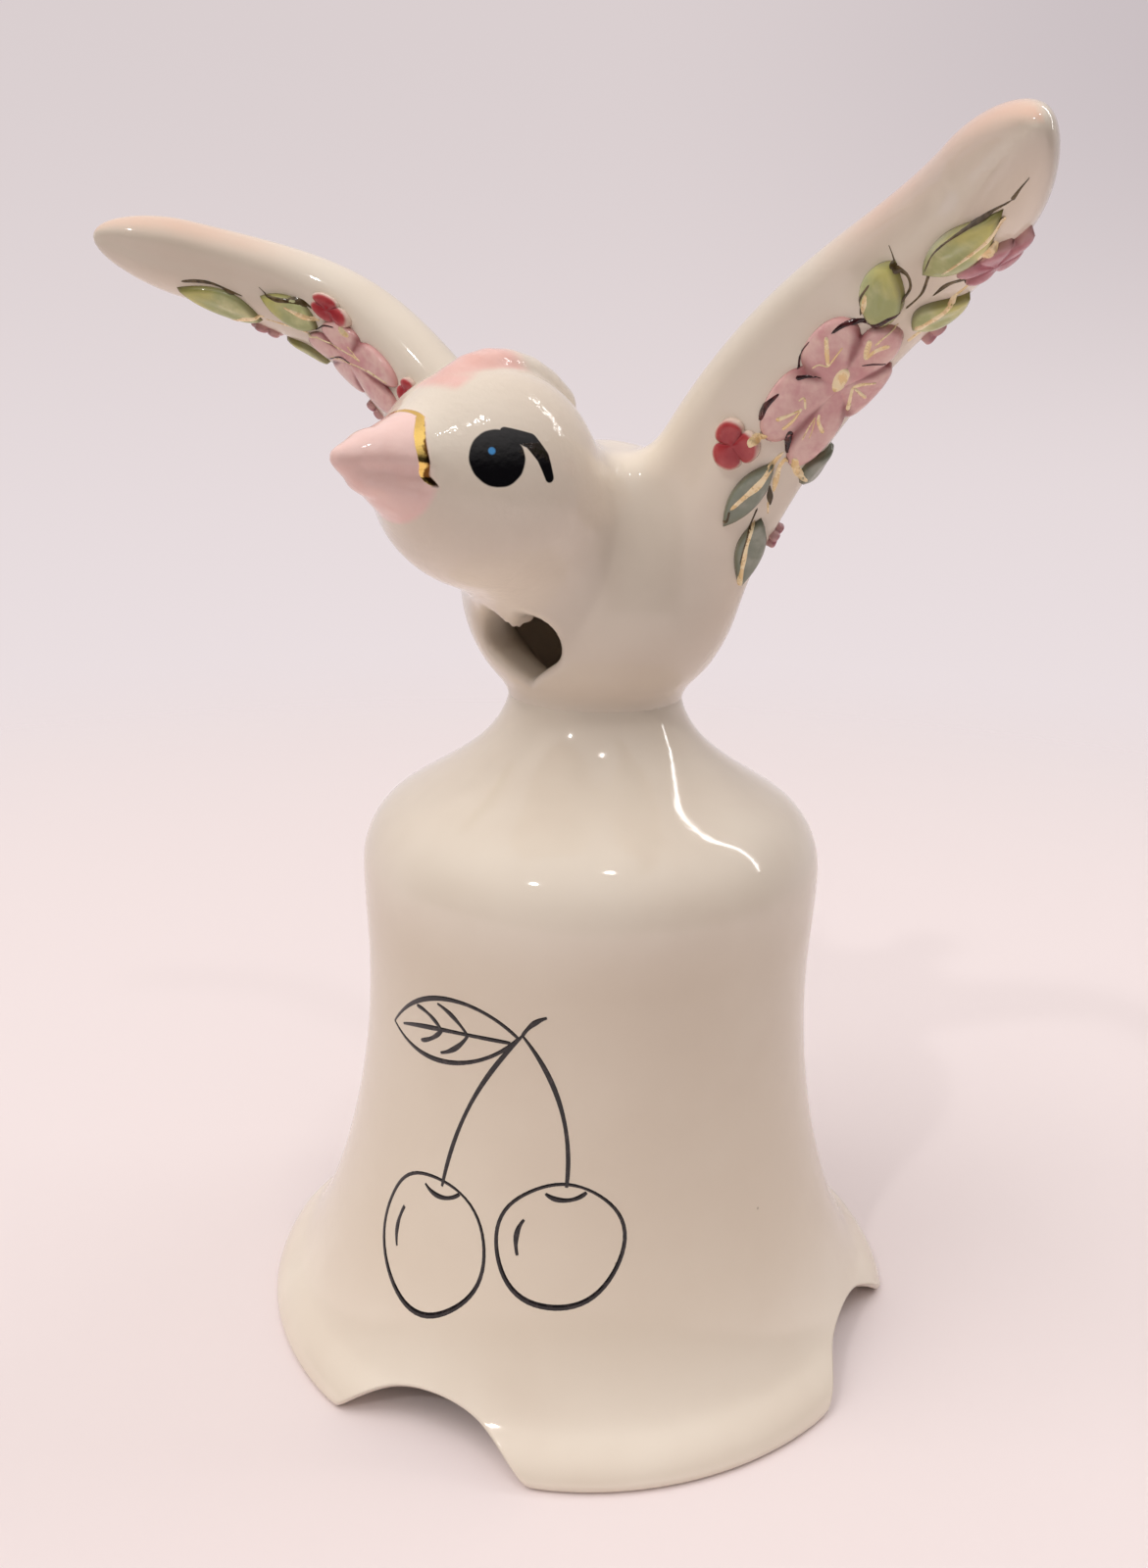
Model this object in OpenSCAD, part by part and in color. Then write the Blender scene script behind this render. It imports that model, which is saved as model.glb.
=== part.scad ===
// Pie bird: a bell-shaped ceramic pie funnel with a bird of cast clay luted on its neck.
// Millimetres, +Z up, origin on the bell's axis at table height, the bird looks along -Y.

/* [Bell] */
// Radius of the lip that the bell stands on
rim_r = 36; // [33:0.5:40]
// Height of the rolled lip
lip_h = 4.4; // [3.4:0.1:6]
// How far the lip rolls out past the flare
lip_roll = 3; // [2:0.1:4]
// Radius of the drawn-in side
waist_r = 24.4; // [22:0.1:26]
// Height of the narrowest part of the side
waist_z = 40; // [35:0.5:43]
// Radius of the rounded shoulder
shoulder_r = 24.8; // [23:0.1:27]
// Height where the shoulder starts to turn in
shoulder_z = 52; // [50:0.5:54]
// Height of the shoulder's round
shoulder_h = 7.6; // [6.6:0.1:8.4]
// Radius of the neck that carries the bird
neck_r = 9.2; // [8.4:0.1:10]
// Height of the neck's seat
neck_z = 70.3; // [68:0.1:74]
// Wall of the cast bell
bell_wall = 3.2; // [2.4:0.1:3.8]

/* [Arched foot] */
// Number of arches cut in the lip
arch_count = 4; // [3:1:5]
// Width of an arch on the table
arch_w = 22; // [14:0.5:24]
// Height of an arch
arch_h = 4.6; // [3.6:0.1:6]
// Turn of the arches from the bird's front
arch_turn = 12; // [-20:1:30]

/* [Bird] */
// Radius of the round body
body_r = 14.3; // [12.8:0.1:15]
// Wall of the cast body
body_wall = 4.4; // [3:0.1:4.8]
// Length of the collar under the body
collar_l = 0.9; // [0.5:0.1:2]
// Radius of the head across its axis
head_r = 10.2; // [9.5:0.1:11]
// Length of the back of the head from its widest part
head_back = 10.4; // [9.6:0.1:12]
// Length of the face from the widest part to the beak
face_l = 11.6; // [10:0.1:13]
// Head centre in front of the bell's axis
head_fwd = 16.9; // [15:0.1:18]
// Head centre above the body's centre
head_up = 10.6; // [9:0.1:12]
// Upward tilt of the head
head_tilt = 7; // [0:1:12]
// Radius of the beak where it meets the face
beak_r = 4.4; // [4:0.1:5]
// Length of the beak
beak_l = 7.3; // [6:0.1:8]
// Depth of the mouth line on each side of the beak
mouth_d = 0.5; // [0.3:0.1:0.8]
// Width of the mouth line
mouth_w = 0.5; // [0.3:0.1:0.8]
// Radius of the crest roll
crest_r = 2.2; // [1.8:0.1:2.6]
// How far the crest stands proud of the crown
crest_proud = 1; // [0.8:0.1:1.5]
// Angle where the crest starts in front of the crown
crest_start = 42; // [36:1:45]
// Angle where the crest ends behind the crown
crest_end = -53; // [-56:1:-46]
// Length of the short tail behind the body
tail_l = 12; // [9:0.5:14]
// Width of the tail at its end
tail_w = 12; // [10:0.5:14]
// Thickness of the tail near its end
tail_t = 3.4; // [2.6:0.1:4.2]

/* [Steam vent] */
// Width of the heart
heart_w = 10.5; // [9:0.1:11.4]
// Height of the heart
heart_h = 7.8; // [7:0.1:8.4]
// Angle of the heart below the body's middle
heart_drop = 22; // [16:1:26]
// Downward slope of the cut through the wall
heart_slope = 4; // [0:1:8]
// Turn of the heart from the bird's front
heart_turn = 1; // [-6:1:6]

/* [Wings] */
// Distance of a wing tip from the midline
wing_x = 50.4; // [46:0.1:54]
// Reach of a wing tip in front of the axis
wing_y = 24; // [18:0.5:28]
// Height of a wing tip above the body's centre
wing_z = 33.9; // [31:0.1:38]
// Width of a wing where it leaves the body
root_w = 15.4; // [14:0.1:17]
// Width of a wing near its tip
tip_w = 7.4; // [6.4:0.1:9]
// Thickness of a wing where it leaves the body
root_t = 8.8; // [7.6:0.1:10]
// Thickness of a wing near its tip
tip_t = 6; // [5:0.1:7]
// Depth of the hollow behind the rolled front edge
wing_hollow = 0.5; // [0.2:0.05:0.8]

/* [Sprigs] */
// Relief of the pressed flowers and leaves
sprig_h = 1.1; // [0.8:0.05:1.5]
// Thickness of the slip that a sprig is luted with
slip_t = 0.05; // [0:0.01:0.1]
// Length of the large blossom along the wing
blossom_l = 16; // [14:0.1:16.4]
// Width of the large blossom across the wing
blossom_w = 9; // [8:0.1:9.3]
// Radius of a small blossom
floret_r = 2.3; // [1.9:0.05:2.4]
// Length of a leaf
leaf_l = 7; // [6:0.1:7.3]
// Width of a leaf
leaf_w = 2.8; // [2.2:0.1:3]

/* [Hidden] */
// Sprigs on each wing: share of the wing's length, angle round it, length, width, turn
left_large = [[0.462, 51, 1, 1, 0]];
right_large = [[0.472, 84, 0.9, 0.84, -12]];
left_red = [[0.272, 88, 1.1, 1.05, 0]];
left_mauve = [[0.168, -12, 0.55, 0.55, 0], [0.655, -18, 0.8, 0.6, -10], [0.862, 7, 1.7, 0.6, -10]];
left_leaves = [[0.150, 26, 1.2, 0.95, 190], [0.225, 58, 1.2, 0.95, 174], [0.299, 0, 0.64, 0.92, -20],
    [0.690, 88, 0.82, 1.5, 30], [0.722, 22, 0.9, 0.95, -16], [0.852, 60, 1.4, 1.05, -8]];
right_red = [[0.298, 120, 0.7, 0.6, 0], [0.592, 130, 1.2, 0.7, 0]];
right_mauve = [[0.4, 18, 0.7, 0.6, 0], [0.755, 2, 0.9, 0.6, 0]];
right_leaves = [[0.150, 26, 1.2, 0.95, 190], [0.225, 60, 1.2, 0.95, 174], [0.3, 22, 0.7, 0.8, -20],
    [0.645, 20, 0.85, 0.9, -6], [0.705, 84, 0.85, 1.25, 14], [0.84, 50, 1.25, 1.25, 4]];

function numbered(name, list) = [for (i = [1:len(list)]) str(name, i)];
$fn = 96;
eps = 0.01;

// Cubic curve through its end points, with n steps
function curve(p, t) = pow(1 - t, 3) * p[0] + 3 * pow(1 - t, 2) * t * p[1]
    + 3 * (1 - t) * t * t * p[2] + pow(t, 3) * p[3];
function slope(p, t) = 3 * pow(1 - t, 2) * (p[1] - p[0]) + 6 * (1 - t) * t * (p[2] - p[1])
    + 3 * t * t * (p[3] - p[2]);
function steps(p, n) = [for (i = [1:n]) curve(p, i / n)];
function unit(v) = v / norm(v);

// Heights and places that follow from the sizes
bore_r = neck_r - bell_wall;
body_z = neck_z + collar_l + sqrt(body_r * body_r - neck_r * neck_r);
head_at = [0, -head_fwd, body_z + head_up];
ogee_z = shoulder_z + shoulder_h;
ogee_r = shoulder_r - 0.55 * shoulder_h;
lip_top = [rim_r - lip_roll, lip_h];

// Outside of the bell from the table up to the neck
lip_line = [[rim_r, 0], [rim_r, lip_h * 0.45], [rim_r - lip_roll * 0.55, lip_h * 0.72], lip_top];
flare_line = [lip_top, [lip_top[0] - lip_roll * 1.07, lip_h * 1.73], [waist_r, waist_z * 0.58], [waist_r, waist_z]];
side_line = [[waist_r, waist_z], [waist_r, waist_z + (shoulder_z - waist_z) * 0.4],
    [shoulder_r, shoulder_z - (shoulder_z - waist_z) * 0.35], [shoulder_r, shoulder_z]];
shoulder_line = [[shoulder_r, shoulder_z], [shoulder_r, shoulder_z + shoulder_h * 0.46],
    [ogee_r + shoulder_h * 0.32, ogee_z - shoulder_h * 0.21], [ogee_r, ogee_z]];
neck_line = [[ogee_r, ogee_z], [ogee_r - (ogee_r - neck_r) * 0.37, ogee_z + (neck_z - ogee_z) * 0.26],
    [neck_r * 1.13, (neck_z + ogee_z) / 2], [neck_r, neck_z]];
bell_outer = concat([[rim_r, 0]], steps(lip_line, 6), steps(flare_line, 14), steps(side_line, 6),
    steps(shoulder_line, 8), steps(neck_line, 10));
function inward(p, i) = let (a = p[max(i - 1, 0)], b = p[min(i + 1, len(p) - 1)], d = unit(b - a))
    [p[i][0] - bell_wall * d[1], p[i][1] + bell_wall * d[0]];
bell_inner = [for (i = [1:len(bell_outer) - 2]) inward(bell_outer, i)];

module bell_base() {
    color("ivory") difference() {
        rotate_extrude() polygon(concat(bell_outer, [[bore_r, neck_z]],
            [for (i = [len(bell_inner) - 1:-1:0]) if (bell_inner[i][0] >= bore_r && bell_inner[i][1] > 0)
                bell_inner[i]], [[rim_r - bell_wall, 0]]));
        for (k = [0:arch_count - 1]) rotate(arch_turn + k * 360 / arch_count) arch();
    }
}

// Round-headed cutter that leaves an arch in the lip
module arch() {
    arch_r = arch_w * arch_w / (8 * arch_h) + arch_h / 2;
    translate([0, 0, arch_h - arch_r]) rotate([90, 0, 0]) cylinder(r = arch_r, h = rim_r + 1);
}

module body_form() {
    translate([0, 0, body_z]) sphere(r = body_r);
}

module bird_body() {
    color("floralwhite") difference() {
        union() {
            difference() {
                body_form();
                translate([0, 0, neck_z - body_r]) cylinder(r = body_r, h = body_r + collar_l / 2);
            }
            translate([0, 0, neck_z]) cylinder(r = neck_r, h = body_z - neck_z);
        }
        translate([0, 0, body_z]) sphere(r = body_r - body_wall);
        translate([0, 0, neck_z - eps]) cylinder(r = bore_r, h = body_z - neck_z);
        translate([0, 0, body_z]) rotate(heart_turn)
            translate([0, -body_r * cos(heart_drop), -body_r * sin(heart_drop)])
                rotate([90 + heart_slope, 0, 0]) translate([0, 0, -body_r * 0.55])
                    linear_extrude(body_r * 0.85) heart();
    }
}

// Heart outline: two round lobes and straight sides that run down to a point
module heart() {
    lobe = heart_w * 0.26;
    side = heart_w / 2 - lobe;
    top = heart_h / 2 - lobe;
    rise = top + heart_h / 2;
    touch = atan2(rise, side) - asin(lobe / norm([side, rise])) - 90;
    cleft = 180 - acos(side / lobe);
    n = 16;
    arc = [for (i = [0:n]) let (a = touch + (cleft - touch) * i / n)
        [side + lobe * cos(a), top + lobe * sin(a)]];
    polygon(concat([[0, -heart_h / 2]], arc, [for (i = [n - 1:-1:0]) [-arc[i][0], arc[i][1]]]));
}

// Egg of the head as a revolve about its own axis, flat where the beak sits
head_line = concat(steps([[0, -head_back], [head_r * 0.62, -head_back], [head_r, -head_back * 0.58],
    [head_r, 0]], 10),
    steps([[head_r, 0], [head_r, face_l * 0.35], [beak_r * 1.17, face_l * 0.8], [beak_r, face_l]], 10));

module along_head() {
    translate(head_at) rotate([90 - head_tilt, 0, 0]) children();
}

module head_form() {
    along_head() rotate_extrude() polygon(concat([[0, -head_back]], head_line, [[0, face_l]]));
}

module bird_head() {
    color("seashell") difference() {
        head_form();
        body_form();
    }
}

// Half outline of the beak, drawn in by a depth for the core behind the mouth line
function beak_line(d) = steps([[beak_r - d, 0], [beak_r * 0.77 - d, beak_l * 0.34],
    [beak_r * 0.36 - d * 0.6, beak_l * 0.94 - d * 0.8], [0, beak_l - d]], 12);

module beak() {
    color("lightpink") along_head() translate([0, 0, face_l]) difference() {
        rotate_extrude() polygon(concat([[0, 0], [beak_r, 0]], beak_line(0)));
        difference() {
            rotate([-3, 0, 0]) translate([-beak_r, -mouth_w * 1.5, beak_l * 0.14])
                cube([2 * beak_r, mouth_w, beak_l * 0.56]);
            rotate_extrude() polygon(concat([[0, -1], [beak_r - mouth_d, -1], [beak_r - mouth_d, 0]],
                beak_line(mouth_d)));
        }
    }
}

// Rolled crest over the crown, thin at the forehead and ending in a round knob at the back
module crest() {
    rows = 15;
    sides = 16;
    function run(t) = head_r + crest_proud * (1.9 - 1.1 * t) - crest_r;
    function swell(t) = sqrt(max(0.001, 1 - pow(2 * t - 1, 6))) * (1.3 - 0.48 * t);
    ring = [for (i = [0:rows - 1]) let (t = 0.5 - 0.5 * cos(180 * (i + 0.2) / (rows - 0.6)),
        b = crest_end + (crest_start - crest_end) * t)
        for (j = [0:sides - 1]) let (a = -360 * j / sides, d = run(t) + crest_r * swell(t) * sin(a))
            head_at + [crest_r * swell(t) * cos(a), -d * sin(b), d * cos(b)]];
    color("pink") difference() {
        loft(ring, rows, sides);
        head_form();
    }
}

// Short fan tail, a loft of flattened rings that tilts up behind the body
module tail() {
    rows = 10;
    sides = 24;
    start = [0, body_r * 0.6, body_z + body_r * 0.1];
    end = [0, body_r + tail_l, body_z + body_r * 0.1 + tail_l * 0.42];
    up = unit([0, -(end - start)[2], (end - start)[1]]);
    function fade(t) = sqrt(max(0, 1 - pow(max(0, (t - 0.8) / 0.2), 2)));
    ring = [for (i = [0:rows]) let (t = i < 5 ? i * 0.16 : 0.8 + 0.2 * sin(90 * (i - 5) / (rows - 5 + 0.25)))
        for (j = [0:sides - 1]) let (a = 360 * j / sides,
            w = tail_w / 2 * curve([0.95, 0.5, 0.8, 1], t) * (0.45 + 0.55 * fade(t)),
            h = tail_t / 2 * curve([2.6, 1.5, 1.1, 1], t) * fade(t))
            start + (end - start) * t + [cos(a) * w, 0, 0] + up * sin(a) * h];
    color("linen") difference() {
        loft(ring, rows + 1, sides);
        body_form();
    }
}

// Closed skin over rows of points, with fan caps
module loft(p, rows, sides) {
    n = rows * sides;
    last = (rows - 1) * sides;
    mid0 = [for (k = [0:2]) let (s = [for (j = [0:sides - 1]) p[j][k]]) total(s) / sides];
    mid1 = [for (k = [0:2]) let (s = [for (j = [0:sides - 1]) p[last + j][k]]) total(s) / sides];
    skin = [for (i = [0:rows - 2], j = [0:sides - 1]) let (a = i * sides + j, b = i * sides + (j + 1) % sides)
        each [[a, b, b + sides], [a, b + sides, a + sides]]];
    cap0 = [for (j = [0:sides - 1]) [n, (j + 1) % sides, j]];
    cap1 = [for (j = [0:sides - 1]) [n + 1, last + j, last + (j + 1) % sides]];
    polyhedron(points = concat(p, [mid0, mid1]), faces = concat(skin, cap0, cap1));
}
function total(v, i = 0) = i < len(v) ? v[i] + total(v, i + 1) : 0;

// Middle line of the left wing, from inside the body out to the tip
wing_line = [[body_r * 0.34, body_r * 0.25, body_z - body_r * 0.21],
    [wing_x * 0.534, -wing_y * 0.465, body_z + wing_z * 0.817],
    [wing_x * 0.597, wing_y * 0.154, body_z + wing_z * 0.779], [wing_x, -wing_y, body_z + wing_z]];
// Way from the leading edge to the trailing edge
wing_fall = [0.42, 0.32, -0.85];
wing_round = 0.9;
function taper(t) = sqrt(max(0, 1 - pow(max(0, (t - wing_round) / (1 - wing_round)), 2)));
// The root is drawn in where it goes into the body
function tuck(t) = 1 - 0.4 * pow(max(0, 1 - t / 0.14), 2);
// Point of the wing's skin: t runs along it, a goes round it from the trailing edge over the front face
function skin(t, a) = let (v = unit(slope(wing_line, t)), c = unit(wing_fall - (wing_fall * v) * v),
    f = cross(c, v), w = (root_w + (tip_w - root_w) * t) / 2 * taper(t) * tuck(t),
    h = (root_t + (tip_t - root_t) * t) / 2 * taper(t))
    curve(wing_line, t) + c * w * cos(a)
    + f * (h * sin(a) * (1 - 0.22 * cos(a)) - wing_hollow * taper(t) * exp(-pow((a - 108) / 24, 2)));
function along(t, a) = (skin(t + 0.002, a) - skin(t - 0.002, a)) / 0.004;
function round_it(t, a) = (skin(t, a + 1) - skin(t, a - 1)) / 2;
function outward(t, a) = unit(cross(along(t, a), round_it(t, a)));

module wing() {
    rows = 18;
    sides = 28;
    straight = rows - 5;
    ring = [for (i = [0:rows - 1]) let (t = i < straight ? wing_round * i / (straight - 1)
        : wing_round + (1 - wing_round) * sin(90 * (i - straight + 1) / 5.3)) for (j = [0:sides - 1])
        skin(t, 360 * j / sides)];
    difference() {
        loft(ring, rows, sides);
        body_form();
    }
}

module left_wing() {
    color("oldlace") wing();
}

module right_wing() {
    color("oldlace") mirror([1, 0, 0]) wing();
}

// Outlines of the sprigs about their own middle
function lens(a, l, w) = let (r = (l * l / 4 + w * w / 4) / w, d = r - w / 2)
    sqrt(r * r - d * d * cos(a) * cos(a)) - d * abs(sin(a));
function rosette(a, petals) = 0.7 + 0.3 * sqrt(abs(cos(petals * a / 2)));

// One pressed sprig on the wing: rim points out, relief height and place on the skin
module sprig(t, a, rim, dome, crease, foot_rows) {
    n = len(rim);
    ta = 1 / norm(along(t, a));
    aa = 1 / norm(round_it(t, a));
    function spot(r, j, h) = let (x = r * rim[j][0], y = r * rim[j][1], q = [t + x * ta, a + y * aa])
        skin(q[0], q[1]) + outward(q[0], q[1]) * (slip_t + h);
    levels = [[0.3, 0.8], [0.62, 1], [0.88, 0.82], [1, 0.4]];
    rows = len(levels) + foot_rows;
    top = [for (k = levels, j = [0:n - 1]) spot(k[0], j, dome * k[1] * (1 - crease * rim[j][2] * k[0]))];
    foot = [for (k = [foot_rows:-1:1], j = [0:n - 1]) spot(k / foot_rows, j, 0)];
    mid = [spot(0, 0, dome * 0.62), spot(0, 0, 0)];
    bands = [for (k = [0:rows - 2], j = [0:n - 1]) let (p = k * n + j, q = k * n + (j + 1) % n)
        each [[p, q + n, p + n], [p, q, q + n]]];
    lid = [for (j = [0:n - 1]) [rows * n, (j + 1) % n, j]];
    base = [for (j = [0:n - 1]) [rows * n + 1, (rows - 1) * n + j, (rows - 1) * n + (j + 1) % n]];
    polyhedron(points = concat(top, foot, mid), faces = concat(bands, lid, base));
}

function turned(p, turn, low) = [p[0] * cos(turn) - p[1] * sin(turn),
    p[0] * sin(turn) + p[1] * cos(turn), low];
function polar(a, r, l, w) = [l * r * cos(a), w * r * sin(a)];
// Five-petalled flower, longer along the wing where l and w differ
module blossom(at, l, w, n, foot_rows) {
    rim = [for (j = [0:n - 1]) let (b = 360 * j / n)
        turned(polar(b, rosette(b + 8, 5), l * at[2] / 2, w * at[3] / 2), at[4],
        1 - pow(abs(cos(2.5 * (b + 8))), 0.7))];
    sprig(at[0], at[1], rim, sprig_h, 0.55, foot_rows);
}
module floret(at) {
    blossom(at, 2 * floret_r, 2 * floret_r, 25, 3);
}
module leaf(at) {
    n = 16;
    rim = [for (j = [0:n - 1]) let (b = 360 * j / n, r = lens(b, leaf_l * at[2], leaf_w * at[3]))
        turned(polar(b, r, 1, 1), at[4], abs(cos(b)) > 0.9 ? 0.3 : 0)];
    sprig(at[0], at[1], rim, sprig_h * 0.8, 0.4, 4);
}

module left_large_blossom() {
    color("palevioletred") blossom(left_large[0], blossom_l, blossom_w, 40, 5);
}

module right_large_blossom() {
    color("palevioletred") mirror([1, 0, 0]) blossom(right_large[0], blossom_l, blossom_w, 40, 5);
}

module left_red_blossom(i) {
    color("crimson") floret(left_red[i - 1]);
}

module left_mauve_blossom(i) {
    color("mediumorchid") floret(left_mauve[i - 1]);
}

module left_leaf(i) {
    color("olivedrab") leaf(left_leaves[i - 1]);
}

module right_red_blossom(i) {
    color("crimson") mirror([1, 0, 0]) floret(right_red[i - 1]);
}

module right_mauve_blossom(i) {
    color("mediumorchid") mirror([1, 0, 0]) floret(right_mauve[i - 1]);
}

module right_leaf(i) {
    color("olivedrab") mirror([1, 0, 0]) leaf(right_leaves[i - 1]);
}

bell_base();
bird_body();
bird_head();
beak();
crest();
tail();
left_wing();
right_wing();
left_large_blossom();
right_large_blossom();
for (i = [1:len(left_red)]) left_red_blossom(i);
for (i = [1:len(left_mauve)]) left_mauve_blossom(i);
for (i = [1:len(left_leaves)]) left_leaf(i);
for (i = [1:len(right_red)]) right_red_blossom(i);
for (i = [1:len(right_mauve)]) right_mauve_blossom(i);
for (i = [1:len(right_leaves)]) right_leaf(i);
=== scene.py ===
"""Looks of the pie bird, a glazed bird with spread wings on a bell-shaped foot. Lengths are in millimetres
until a mesh is made, in the frame of the CAD part: the bird faces -Y and its left wing is on +X."""
import math

import bpy
import numpy as np
from mathutils import Matrix, Vector


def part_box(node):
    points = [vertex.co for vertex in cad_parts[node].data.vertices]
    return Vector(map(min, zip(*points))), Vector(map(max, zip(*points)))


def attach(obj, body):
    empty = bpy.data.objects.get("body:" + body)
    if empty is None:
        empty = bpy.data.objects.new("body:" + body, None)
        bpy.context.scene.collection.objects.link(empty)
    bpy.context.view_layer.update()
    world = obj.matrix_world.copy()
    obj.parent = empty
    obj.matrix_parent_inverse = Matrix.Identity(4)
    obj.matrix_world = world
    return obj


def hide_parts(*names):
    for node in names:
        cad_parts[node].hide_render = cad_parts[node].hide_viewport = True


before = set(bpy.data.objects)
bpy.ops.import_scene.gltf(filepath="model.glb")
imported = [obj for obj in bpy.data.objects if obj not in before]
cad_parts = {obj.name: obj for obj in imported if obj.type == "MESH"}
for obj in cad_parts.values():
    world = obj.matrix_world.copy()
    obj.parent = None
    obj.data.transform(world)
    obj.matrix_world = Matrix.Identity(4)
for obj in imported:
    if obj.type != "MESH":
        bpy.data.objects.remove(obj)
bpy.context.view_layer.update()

# Bell
# The bell is slip-cast white earthenware under a clear cream glaze, with a thick foot and a round neck.
# Four arches are cut through the foot while the clay is soft, so that juice and steam can get in under it.
MM = 0.001
rim_r, lip_h, lip_roll = 36.0, 4.4, 3.0
waist_r, waist_z = 24.4, 40.0
shoulder_r, shoulder_z, shoulder_h = 24.8, 52.0, 7.6
neck_r, neck_z = 9.2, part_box("bell_base")[1][2] / MM
bell_wall, foot_round, neck_round = 3.2, 0.8, 0.05
ogee_r, ogee_z = shoulder_r - 0.55 * shoulder_h, shoulder_z + shoulder_h
side_h, neck_h = shoulder_z - waist_z, neck_z - ogee_z
lip_top = (rim_r - lip_roll, lip_h)
arch_count, arch_w, arch_h = 4, 22.0, 4.6
arch_turn, arch_soft, arch_reach = math.radians(12), 0.45, 24.0
arch_r = arch_w ** 2 / (8 * arch_h) + arch_h / 2
bell_levels, bell_turns = 150, np.linspace(0, 2 * np.pi, 540, endpoint=False)
glaze_ior, wave_scale, wave_h = 1.52, 0.1, 0.07


def curve(corners, t):
    """Points of a cubic curve at the given shares of its run."""
    a, b, c, d = np.asarray(corners, float)
    t = np.asarray(t, float)[..., None]
    return a * (1 - t) ** 3 + 3 * b * t * (1 - t) ** 2 + 3 * c * t * t * (1 - t) + d * t ** 3


bell_line = np.vstack([curve(run, np.linspace(0, 1, 60)) for run in (
    [(rim_r, 0), (rim_r, lip_h * 0.45), (rim_r - lip_roll * 0.55, lip_h * 0.72), lip_top],
    [lip_top, (lip_top[0] - lip_roll * 1.07, lip_h * 1.73), (waist_r, waist_z * 0.58), (waist_r, waist_z)],
    [(waist_r, waist_z), (waist_r, waist_z + side_h * 0.4), (shoulder_r, shoulder_z - side_h * 0.35),
     (shoulder_r, shoulder_z)],
    [(shoulder_r, shoulder_z), (shoulder_r, shoulder_z + shoulder_h * 0.46),
     (ogee_r + shoulder_h * 0.32, ogee_z - shoulder_h * 0.21), (ogee_r, ogee_z)],
    [(ogee_r, ogee_z), (ogee_r - (ogee_r - neck_r) * 0.37, ogee_z + neck_h * 0.26),
     (neck_r * 1.13, ogee_z + neck_h / 2), (neck_r, neck_z)])])
bell_way = np.gradient(bell_line, axis=0) + 1e-9
bell_way /= np.linalg.norm(bell_way, axis=1, keepdims=True)
bell_inside = bell_line + bell_wall * np.stack([-bell_way[:, 1], bell_way[:, 0]], axis=1)
bell_inside = bell_inside[np.argsort(bell_inside[:, 1])]


def bell_r(z):
    return np.interp(z, bell_line[:, 1], bell_line[:, 0])


def bore_r(z):
    return np.maximum(np.interp(z, bell_inside[:, 1], bell_inside[:, 0]), neck_r - bell_wall)


def arch_lift(r):
    """How far the cut foot stands off the table at each turn, for one radius."""
    pitch = 2 * np.pi / arch_count
    side = np.minimum(np.abs(r * np.sin((bell_turns - arch_turn + pitch / 2) % pitch - pitch / 2)), arch_r)
    rise = arch_h - arch_r + np.sqrt(arch_r ** 2 - side ** 2)
    return (rise + np.sqrt(rise ** 2 + arch_soft ** 2)) / 2


def make_mesh(name, points, faces, material, normals=None, marks=None):
    """A smooth mesh object from points in millimetres, with numbers or vectors kept at its points."""
    mesh = bpy.data.meshes.new(name)
    mesh.from_pydata((np.asarray(points) * MM).tolist(), [], [list(map(int, face)) for face in faces])
    for mark, values in (marks or {}).items():
        values = np.asarray(values, np.float32)
        kind, key = ("FLOAT", "value") if values.ndim == 1 else ("FLOAT_VECTOR", "vector")
        mesh.attributes.new(mark, kind, "POINT").data.foreach_set(key, values.ravel())
    mesh.polygons.foreach_set("use_smooth", np.ones(len(mesh.polygons), bool))
    mesh.update()
    if normals is not None:
        mesh.normals_split_custom_set_from_vertices(normals.tolist())
    mesh.materials.append(material)
    made = bpy.data.objects.new(name, mesh)
    bpy.context.scene.collection.objects.link(made)
    return made


def tube_faces(rows, turns, closed):
    """Faces between rows of a ring of points, joined back to the first row where closed."""
    i, j = np.meshgrid(np.arange(rows if closed else rows - 1), np.arange(turns), indexing="ij")
    up, on = (i + 1) % rows, (j + 1) % turns
    return np.stack([i * turns + j, i * turns + on, up * turns + on, up * turns + j], axis=-1).reshape(-1, 4)


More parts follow.
